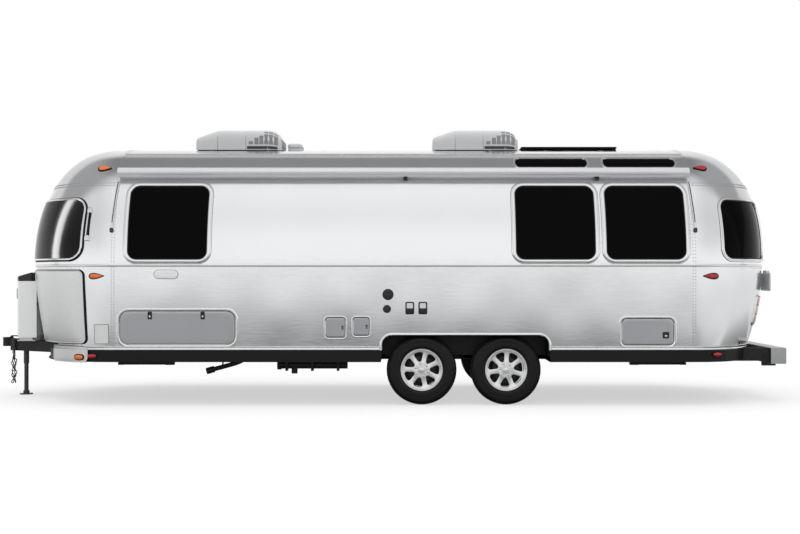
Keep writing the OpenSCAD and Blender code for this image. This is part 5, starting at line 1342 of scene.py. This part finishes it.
tread_rows = [(0.2180, 0.0868), (0.2182, 0.0925), (0.2205, 0.0975), (0.2260, 0.0995), (0.2300, 0.0985),
              (0.2340, 0.1010), (0.2440, 0.1040), (0.2460, 0.1052), (0.2490, 0.1052), (0.2510, 0.1048),
              (0.2700, 0.1068), (0.2860, 0.1072), (0.2880, 0.1062), (0.2900, 0.1072), (0.3050, 0.1058),
              (0.3170, 0.1036), (0.3200, 0.1042), (0.3260, 0.1034), (0.3290, 0.1004), (0.3400, 0.0950),
              (0.3480, 0.0905), (0.3545, 0.0850), (0.3590, 0.0780)]
crown_rows = [(0.3608, 0.0690), (0.3615, 0.0585), (0.3540, 0.0565), (0.3540, 0.0505), (0.3625, 0.0485),
              (0.3640, 0.0225), (0.3560, 0.0205), (0.3560, 0.0145), (0.3646, 0.0125)]
half_section = tread_rows + crown_rows
tyre_section = half_section + [(r, -o) for r, o in half_section[::-1]] + [(0.205, -0.070), (0.205, 0.070)]


def tyre_body(centre, side):
    """Tyre: its closed section turned about the axis, with cross cuts in the shoulders and the tread every four
    degrees, and the bands of the sidewall pressed in between."""
    radius, out = np.array(tyre_section).T
    t = full_turn(360)
    shoulder = ((radius > 0.345) & (np.abs(out) > 0.0575))[:, None]
    rib = ((radius > 0.3605) & (np.abs(out) < 0.0575))[:, None]
    step = np.arange(360)[None]
    stagger = np.where(out > 0, 0, 2)[:, None]
    lug_gap, rib_gap = shoulder & ((step + stagger) % 4 == 0), rib & (step % 4 == 0)
    cut = np.where(lug_gap, 0.0055, 0) + np.where(rib_gap, 0.0030, 0)
    full = radius[:, None] - cut
    points = np.stack([centre[0] + full * np.cos(t), centre[1] + side * (out[:, None] + 0 * t),
                       centre[2] + full * np.sin(t)], -1)
    return as_faces(points, rows_close=True, cols_close=True)


rubber = finish("rubber", (0.0055, 0.0055, 0.006), 0.42, mottle=0.45, size=7, grain=420, bump=0.25, grit=0.2,
                specular=0.3)
tyre_r, axle_y, nut_circle = 0.365, 1.1125, 0.062
centre_cap = [(0, -0.002), (1, -0.002), (1, 0.008), (0.93, 0.012), (0.86, 0.013), (0.78, 0.020), (0.62, 0.0262),
              (0.35, 0.0298), (0, 0.0310)]
valve_stub = [(0, -0.004), (1, -0.004), (0.9, 0.004), (0, 0.005)]
wheel_nut = [(0, -0.004), (1, -0.004), (1, 0.010), (0.86, 0.0135), (0.5, 0.0150), (0, 0.0155)]
drum_section = [(0.050, -0.070), (0.1825, -0.070), (0.1835, -0.064), (0.146, -0.060), (0.146, -0.010),
                (0.138, 0.004), (0.100, 0.010), (0.050, 0.012)]
for word, x, first in (("front", 0.188, 102), ("rear", 1.062, 112)):
    for hand, side in (("left", -1), ("right", 1)):
        hub = "wheel_%s_%s" % (word, hand)
        centre = np.array([mid_x + x, side * axle_y, tyre_r])
        turn = np.radians(first - 180 / 7) if side < 0 else np.radians(180 - first + 180 / 7)
        nut_turn = np.radians(first) + np.arange(6) * np.pi / 3
        spots = on_wheel(centre, side, nut_circle * np.cos(nut_turn), nut_circle * np.sin(nut_turn), 0.0625)
        valve = 0.150 * np.array([[np.cos(turn)], [np.sin(turn)]])
        parts = [spoked_face(centre, side, turn), revolved(centre, side, rim_section),
                 turned(on_wheel(centre, side, 0, 0, 0.0655), 0.041, 0.041, centre_cap, sides=36),
                 turned(on_wheel(centre, side, *valve, 0.060), 0.004, 0.004, valve_stub, sides=10)]
        build(hub + "_rim", parts, alloy, [hub], body=hub)
        build(hub + "_nuts", [turned(spots, 0.0115, 0.0115, wheel_nut, sides=6)], trim_metal,
              body=hub)
        build(hub + "_drum", [revolved(centre, side, drum_section, 48)], drum_black, body=hub)
        build("tyre_%s_%s_body" % (word, hand), [tyre_body(centre, side)], rubber,
              ["tyre_%s_%s" % (word, hand)], sharp=50, body=hub)

# ---- hitch ---------------------------------------------------------------------------------
# A black cast coupler and its latch, a dark painted screw jack with a foot, a white moulded
# gas cover with a hinged black lid over two painted cylinders, a bent drain pipe under the
# floor, and a welded safety chain that hangs from the coupler.

coupler_black = finish("coupler_black", (0.014, 0.014, 0.015), 0.42, metal=0.4, mottle=0.4, size=14,
                       grain=260, bump=0.2, grit=0.2, bump_size=0.003)
cover_gloss = finish("cover_gloss", (0.93, 0.935, 0.94), 0.28, mottle=0.04, size=3, grain=120, bump=0.05,
                     grit=0.1, coat=0.6)
cylinder_paint = finish("cylinder_paint", (0.62, 0.63, 0.63), 0.4, mottle=0.12, size=8, grain=160,
                        bump=0.12, grit=0.2)
lid_black = finish("lid_black", (0.020, 0.020, 0.022), 0.38, mottle=0.3, size=7, grain=380, bump=0.2,
                   grit=0.15)
paint(coupler_black, "coupler")
jack_paint = finish("jack_paint", (0.10, 0.10, 0.105), 0.40, metal=0.6, mottle=0.3, size=18, grain=(160, 160, 60),
                    bump=0.12, grit=0.3)
paint(jack_paint, "jack_post", "jack_leg")
paint(cover_gloss, "gas_cover")
paint(lid_black, "gas_cover_lid")
paint(cylinder_paint, "gas_cylinders")


def link(centre, along, across, half_long, half_wide, wire, sides=24, around=8):
    """A chain link: a round wire carried round a stadium, a half circle at each end of two straights."""
    t = full_turn(sides)
    bend = half_wide - wire
    u = bend * np.cos(t)
    v = bend * np.sin(t) + np.sign(np.sin(t)) * (half_long - half_wide)
    du, dv = -np.sin(t), np.cos(t)
    side = np.cross(along, across)
    out = dv[:, None] * across - du[:, None] * along
    middle = centre + u[:, None] * across + v[:, None] * along
    a = full_turn(around)[:, None, None]
    points = middle[None] + wire * (np.cos(a) * out[None] + np.sin(a) * side)
    return as_faces(points, rows_close=True, cols_close=True)


def pipe(path, radius, sides=20):
    """A round pipe along a path of points with eased corners: rings square to the path, its ends closed."""
    path = np.array(path, float)
    share = np.linspace(0, len(path) - 1, 14 * (len(path) - 1) + 1)
    line = np.stack([np.interp(share, np.arange(len(path)), path[:, k]) for k in range(3)], -1)
    for _ in range(24):
        line[1:-1] = (line[:-2] + 2 * line[1:-1] + line[2:]) / 4
    along = unit(np.gradient(line, axis=0))
    side = unit(np.cross(along, [0, 1.0, 0.02]))
    rise = np.cross(side, along)
    a = full_turn(sides)[:, None, None]
    return capped(line[None] + radius * (np.cos(a) * side[None] + np.sin(a) * rise[None]))


drain_y = -1.02
drains = [pipe([(mid_x - 1.66, drain_y, 0.47), (mid_x - 1.74, drain_y, 0.425),
                (mid_x - 2.04, drain_y, 0.345)], 0.024),
          pipe([(mid_x - 1.985, drain_y, 0.360), (mid_x - 2.065, drain_y, 0.338)], 0.034),
          pipe([(mid_x - 1.90, drain_y + 0.06, 0.50), (mid_x - 1.90, drain_y + 0.02, 0.38)], 0.008, 10)]
build("furnace_drain", drains, chassis_black)

chain_lo, chain_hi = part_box("safety_chain")
chain_at = np.array([(chain_lo.x + chain_hi.x) / 2, (chain_lo.y + chain_hi.y) / 2, 0])
links_made, drop, count = [], 0.0, 0
while chain_hi.z - drop - 0.040 > chain_lo.z:
    z = chain_hi.z - drop - 0.020
    for strand in (0, np.pi):
        spread = 0.016 * np.clip((0.45 - z) / 0.06, 0, 1) + 0.002
        a = z * 26 + strand
        centre = chain_at + np.array([spread * np.cos(a), spread * np.sin(a) - 0.004, z])
        tilt = 0.30 * np.array([-np.sin(a), np.cos(a), 0]) * (spread > 0.01)
        along = unit(np.array([0, 0, 1.0]) + tilt)
        face = a * 0.5 + (np.pi / 2 if count % 2 else 0)
        across = unit(np.cross(along, [np.cos(face), np.sin(face), 0]))
        links_made.append(link(centre, along, across, 0.0235, 0.0165, 0.0054))
    drop += 0.033
    count += 1
build("safety_chain_links", links_made, jack_paint, ["safety_chain"], sharp=80)

# ---- bumper and number plate holder ------------------------------------------------------------
# A grey steel channel with end plates on two black frame arms, and a pressed pan for the number
# plate with four bolt holes and a hooded lamp.

bumper_grey = finish("bumper_grey", (0.46, 0.47, 0.48), 0.4, metal=0.75, mottle=0.12, size=9, grain=(40, 200, 200),
                     bump=0.08, grit=0.3)
bumper_lo, bumper_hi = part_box("bumper")
beam_out = np.array([(-0.165, -0.085), (-0.010, -0.085), (-0.003, -0.082), (0, -0.075), (0, 0.075),
                     (-0.003, 0.082), (-0.010, 0.085), (-0.165, 0.085)])
beam_in = np.array([(-0.165, -0.075), (-0.012, -0.075), (-0.0105, -0.0745), (-0.010, -0.073), (-0.010, 0.073),
                    (-0.0105, 0.0745), (-0.012, 0.075), (-0.165, 0.075)])
along = np.linspace(bumper_lo.y, bumper_hi.y, 9)


def beam_skin(fold):
    """One side of the channel: its folded section of (back, up) carried across the whole width."""
    return np.stack([bumper_hi.x + fold[:, :1] + 0 * along, along + 0 * fold[:, :1],
                     0.487 + fold[:, 1:] + 0 * along], -1)


def slab(x0, x1, y0, y1, z0, z1, r=0.004):
    """A flat bar with eased corners: a rounded rectangle in side view, carried across its thickness."""
    u, v = outline((x0, z0, x1 - x0, z1 - z0, r), 0, 4, 1.0)
    y = np.array([y0, y0 + 0.0008, y1 - 0.0008, y1])
    ease = np.array([0.997, 1, 1, 0.997])
    mid_u, mid_v = (x0 + x1) / 2, (z0 + z1) / 2
    grid = np.stack([mid_x + mid_u + np.outer(u - mid_u, ease), y + 0 * u[:, None],
                     mid_v + np.outer(v - mid_v, ease)], -1)
    return capped(grid)


ends_made = [slab(3.906, 4.0695, y, y + 0.004, 0.403, 0.571, 0.008) for y in (-0.8535, 0.8495)]
build("bumper_channel", [sheet_of(beam_skin(beam_out), beam_skin(beam_in))] + ends_made, bumper_grey)
arms_made = []
for y in (-0.815, 0.815):
    arms_made += [slab(3.480, 4.003, y - 0.008, y + 0.008, 0.432, min(bumper_hi.z, 0.571)),
                  slab(3.815, 3.965, y - 0.0085, y + 0.0085, 0.382, 0.442)]
    here = np.array([[mid_x + x, y + np.sign(y) * 0.008, z] for x in (3.84, 3.94) for z in (0.408, 0.470)])
    axes = [np.array([[-np.sign(y), 0, 0]]), np.array([[0, 0, 1.0]]), np.array([[0, np.sign(y), 0]])]
    arms_made.append(turned((here, *[np.repeat(axis, 4, 0) for axis in axes]), 0.011, 0.011,
                            [(0, -0.002), (1, -0.002), (1, 0.007), (0.85, 0.009), (0, 0.009)], sides=6))
build("bumper_arms", arms_made, chassis_black, ["bumper"])
plate_face = 4.1854 - 0.005
pan = (-0.474 - 0.165, 1.185, 0.33, 0.175, 0.012)


def plate_plane(u, v, d):
    """The plane behind the number plate as a surface of (across, height, towards the rear)."""
    return np.stack([plate_face + d + 0 * u, u + 0 * d, v + 0 * d], -1)


bolt_holes = [(-0.474 + dy - 0.003, z - 0.003, 0.006, 0.006, 0.003) for dy in (-0.089, 0.089) for z in (1.213, 1.334)]
near_y = np.unique(np.round(np.concatenate([np.linspace(pan[0], pan[0] + pan[2], 25)]
                                           + [np.linspace(h[0] - 0.004, h[0] + 0.010, 11) for h in bolt_holes]), 5))
near_z = np.unique(np.round(np.concatenate([np.linspace(pan[1], pan[1] + pan[3], 15)]
                                           + [np.linspace(h[1] - 0.004, h[1] + 0.010, 11) for h in bolt_holes]), 5))
u, v, keep = cut_grid(near_y, near_z, bolt_holes)
pan_parts = [sheet_of(plate_plane(u, v, 0.0048 + 0 * u), plate_plane(u, v, 0.0004 + 0 * u), keep)]
pan_parts.append(rim_around(pan, [(0.0005, 0.0005), (0.0005, 0.010), (0.006, 0.0125), (0.010, 0.0125),
                                  (0.010, 0.010), (0.0065, 0.0095), (0.0035, 0.0085), (0.0035, 0.0005)], plate_plane))
hood = (-0.474 - 0.060, 1.3605, 0.120, 0.036, 0.010)
pan_parts.append(panel(hood, 0, lambda k: 0.0370 - 0.004 * k ** 8, 0.0365, plate_plane, 9))
build("plate_pan", pan_parts, cover_white, ["plate_holder"])
lamp_lens = (-0.474 - 0.046, 1.3635, 0.092, 0.018, 0.006)
build("plate_lamp", [panel(lamp_lens, 0, lambda k: 0.0376 + 0.001 * (1 - k ** 4), 0.004, plate_plane, 5)],
      fitting_black)

# ---- stage ---------------------------------------------------------------------------
# A pale floor that keeps the shadow and that, seen in reflections, glows in painted shade
# dark near the caravan; a soft room with a lamp overhead, a strip lamp that only the front
# window guard catches, and a long lens level with the windows.

floor_mesh = bpy.data.meshes.new("studio_floor")
reach = 190.0
floor_mesh.from_pydata([(-reach, -reach, 0), (reach, -reach, 0), (reach, reach, 0), (-reach, reach, 0)], [],
                       [(0, 1, 2, 3)])
floor = bpy.data.objects.new("studio_floor", floor_mesh)
bpy.context.scene.collection.objects.link(floor)

floor_paint = bpy.data.materials.new("floor_paint")
floor_paint.use_nodes = True
nodes, links = floor_paint.node_tree.nodes, floor_paint.node_tree.links
nodes.remove(nodes["Principled BSDF"])


def worked(kind, first, second=None, low=None, high=None):
    """A math node on a link or a number; MapRange from low..high to 0..1 where kind is RANGE."""
    if kind == "RANGE":
        node = nodes.new("ShaderNodeMapRange")
        node.inputs["From Min"].default_value, node.inputs["From Max"].default_value = low, high
        links.new(first, node.inputs["Value"])
        return node.outputs["Result"]
    node = nodes.new("ShaderNodeMath")
    node.operation = kind
    for place, value in enumerate((first, second)):
        if isinstance(value, (int, float)):
            node.inputs[place].default_value = value
        elif value is not None:
            links.new(value, node.inputs[place])
    return node.outputs["Value"]


def greys(position, stops):
    """Colour ramp of greys at the given positions."""
    node = nodes.new("ShaderNodeValToRGB")
    for count, (spot, grey) in enumerate(stops):
        stop = node.color_ramp.elements[0] if count == 0 else node.color_ramp.elements.new(spot)
        stop.position, stop.color = spot, (grey, grey, grey, 1)
    node.color_ramp.elements.remove(node.color_ramp.elements[-1])
    links.new(position, node.inputs["Fac"])
    return node.outputs["Color"]


def mixed(factor, first, second):
    """One shader where the factor is nought and the other where it is one."""
    node = nodes.new("ShaderNodeMixShader")
    links.new(factor, node.inputs["Fac"])
    links.new(first, node.inputs[1])
    links.new(second, node.inputs[2])
    return node.outputs["Shader"]


seen = nodes.new("ShaderNodeLightPath")
where = nodes.new("ShaderNodeTexCoord")
split = nodes.new("ShaderNodeSeparateXYZ")
links.new(where.outputs["Object"], split.inputs["Vector"])
across = worked("ABSOLUTE", split.outputs["Y"])
along = worked("ABSOLUTE", split.outputs["X"])
# Seen by glossy rays, the floor is an emission of painted shade: dark grey near the caravan's sides, paler far away
# and beyond its ends, standing in for its shadow.
nearness = worked("DIVIDE", 3.0, worked("MAXIMUM", across, 1.0))
reflected_floor_shade = greys(nearness, ((0.0, 1.0), (0.024, 0.93), (0.053, 0.76), (0.087, 0.55), (0.136, 0.32), (0.22, 0.16),
                         (0.45, 0.10), (1.0, 0.08), (1.0, 0.08)))
sideways = worked("RANGE", along, low=5.0, high=11.0)
painted_floor_shade = nodes.new("ShaderNodeMix")
painted_floor_shade.data_type = "RGBA"
links.new(sideways, painted_floor_shade.inputs["Factor"])
links.new(reflected_floor_shade, painted_floor_shade.inputs["A"])
painted_floor_shade.inputs["B"].default_value = (0.80, 0.80, 0.80, 1)
floor_shade_in_reflections = nodes.new("ShaderNodeEmission")
links.new(painted_floor_shade.outputs["Result"], floor_shade_in_reflections.inputs["Color"])
pale, bare, far = (nodes.new(kind) for kind in ("ShaderNodeBsdfDiffuse", "ShaderNodeBsdfDiffuse",
                                                "ShaderNodeEmission"))
pale.inputs["Color"].default_value = (1, 1, 1, 1)
bare.inputs["Color"].default_value = (0.55, 0.55, 0.55, 1)
reach_out = nodes.new("ShaderNodeVectorMath")
reach_out.operation = "LENGTH"
links.new(where.outputs["Object"], reach_out.inputs[0])
fade = worked("ADD", worked("MULTIPLY", worked("RANGE", reach_out.outputs["Value"], low=5.5, high=9.0), 0.42), 0.58)
shown = mixed(fade, pale.outputs["BSDF"], far.outputs["Emission"])
lit = mixed(seen.outputs["Is Glossy Ray"], bare.outputs["BSDF"], floor_shade_in_reflections.outputs["Emission"])
links.new(mixed(seen.outputs["Is Camera Ray"], lit, shown), nodes["Material Output"].inputs["Surface"])
floor_mesh.materials.append(floor_paint)

world = bpy.data.worlds.new("studio")
bpy.context.scene.world = world
world.use_nodes = True
nodes, links = world.node_tree.nodes, world.node_tree.links
sky = nodes["Background"]
sky.inputs["Color"].default_value = (1, 1, 1, 1)
sky.inputs["Strength"].default_value = 0.95
backdrop, room = nodes.new("ShaderNodeBackground"), nodes.new("ShaderNodeBackground")
backdrop.inputs["Color"].default_value = (1, 1, 1, 1)
aim = nodes.new("ShaderNodeTexCoord")
split = nodes.new("ShaderNodeSeparateXYZ")
links.new(aim.outputs["Generated"], split.inputs["Vector"])
turn_up = worked("DIVIDE", worked("ARCTAN2", split.outputs["Z"], worked("MULTIPLY", split.outputs["Y"], -1.0)), np.pi)
sides = worked("RANGE", worked("ABSOLUTE", split.outputs["X"]), low=0.12, high=0.45)
dimmed = worked("MULTIPLY", worked("MULTIPLY", sides, worked("RANGE", split.outputs["Z"], low=0.08, high=0.3)), 0.24)
walls = greys(turn_up, ((0.0, 1.0), (0.12, 1.0), (0.22, 0.90), (0.36, 0.98), (0.43, 0.5), (0.49, 0.28), (0.68, 0.25),
                        (0.76, 0.9), (1.0, 0.94), (1.0, 0.94)))
links.new(worked("MAXIMUM", walls, worked("MULTIPLY", sides, 0.48)), room.inputs["Color"])
links.new(worked("SUBTRACT", 1.0, dimmed), room.inputs["Strength"])
seen = nodes.new("ShaderNodeLightPath")
lit = mixed(seen.outputs["Is Glossy Ray"], sky.outputs["Background"], room.outputs["Background"])
clear = worked("MAXIMUM", seen.outputs["Is Camera Ray"], seen.outputs["Is Transmission Ray"])
links.new(mixed(clear, lit, backdrop.outputs["Background"]), nodes["World Output"].inputs["Surface"])



def area_lamp(name, wide, high, watts, place, facing=(0, 0, 0)):
    """A rectangular lamp, in metres and watts, that shines down until it is turned to face elsewhere."""
    light = bpy.data.lights.new(name, "AREA")
    light.shape, light.size, light.size_y, light.energy = "RECTANGLE", wide, high, watts
    lamp = bpy.data.objects.new(name, light)
    lamp.location, lamp.rotation_euler = place, facing
    bpy.context.scene.collection.objects.link(lamp)
    return lamp


area_lamp("overhead_softbox", 14, 8, 250, (0, -1, 8)).visible_glossy = False
guard_strip = area_lamp("guard_strip", 1.4, 16, 2600, (mid_x - 9.5, -1.1, 6.0), (np.pi / 2, 0, np.radians(-82)))
guard_strip.visible_camera = False
guard_only = bpy.data.collections.new("guard_only")
guard_only.objects.link(front_guard)
guard_strip.light_linking.receiver_collection = guard_only

eye_height, eye_distance = 1.336, 14
lens = bpy.data.cameras.new("side_view")
lens.sensor_width, lens.lens = 36, 55.665
lens.shift_x, lens.shift_y = -0.004375, 0.01125
lens.clip_end = 600
camera = bpy.data.objects.new("side_view", lens)
camera.location = (mid_x, -eye_distance, eye_height)
camera.rotation_euler = (np.pi / 2, 0, 0)
bpy.context.scene.collection.objects.link(camera)
bpy.context.scene.camera = camera
bpy.context.scene.view_settings.view_transform = "Standard"
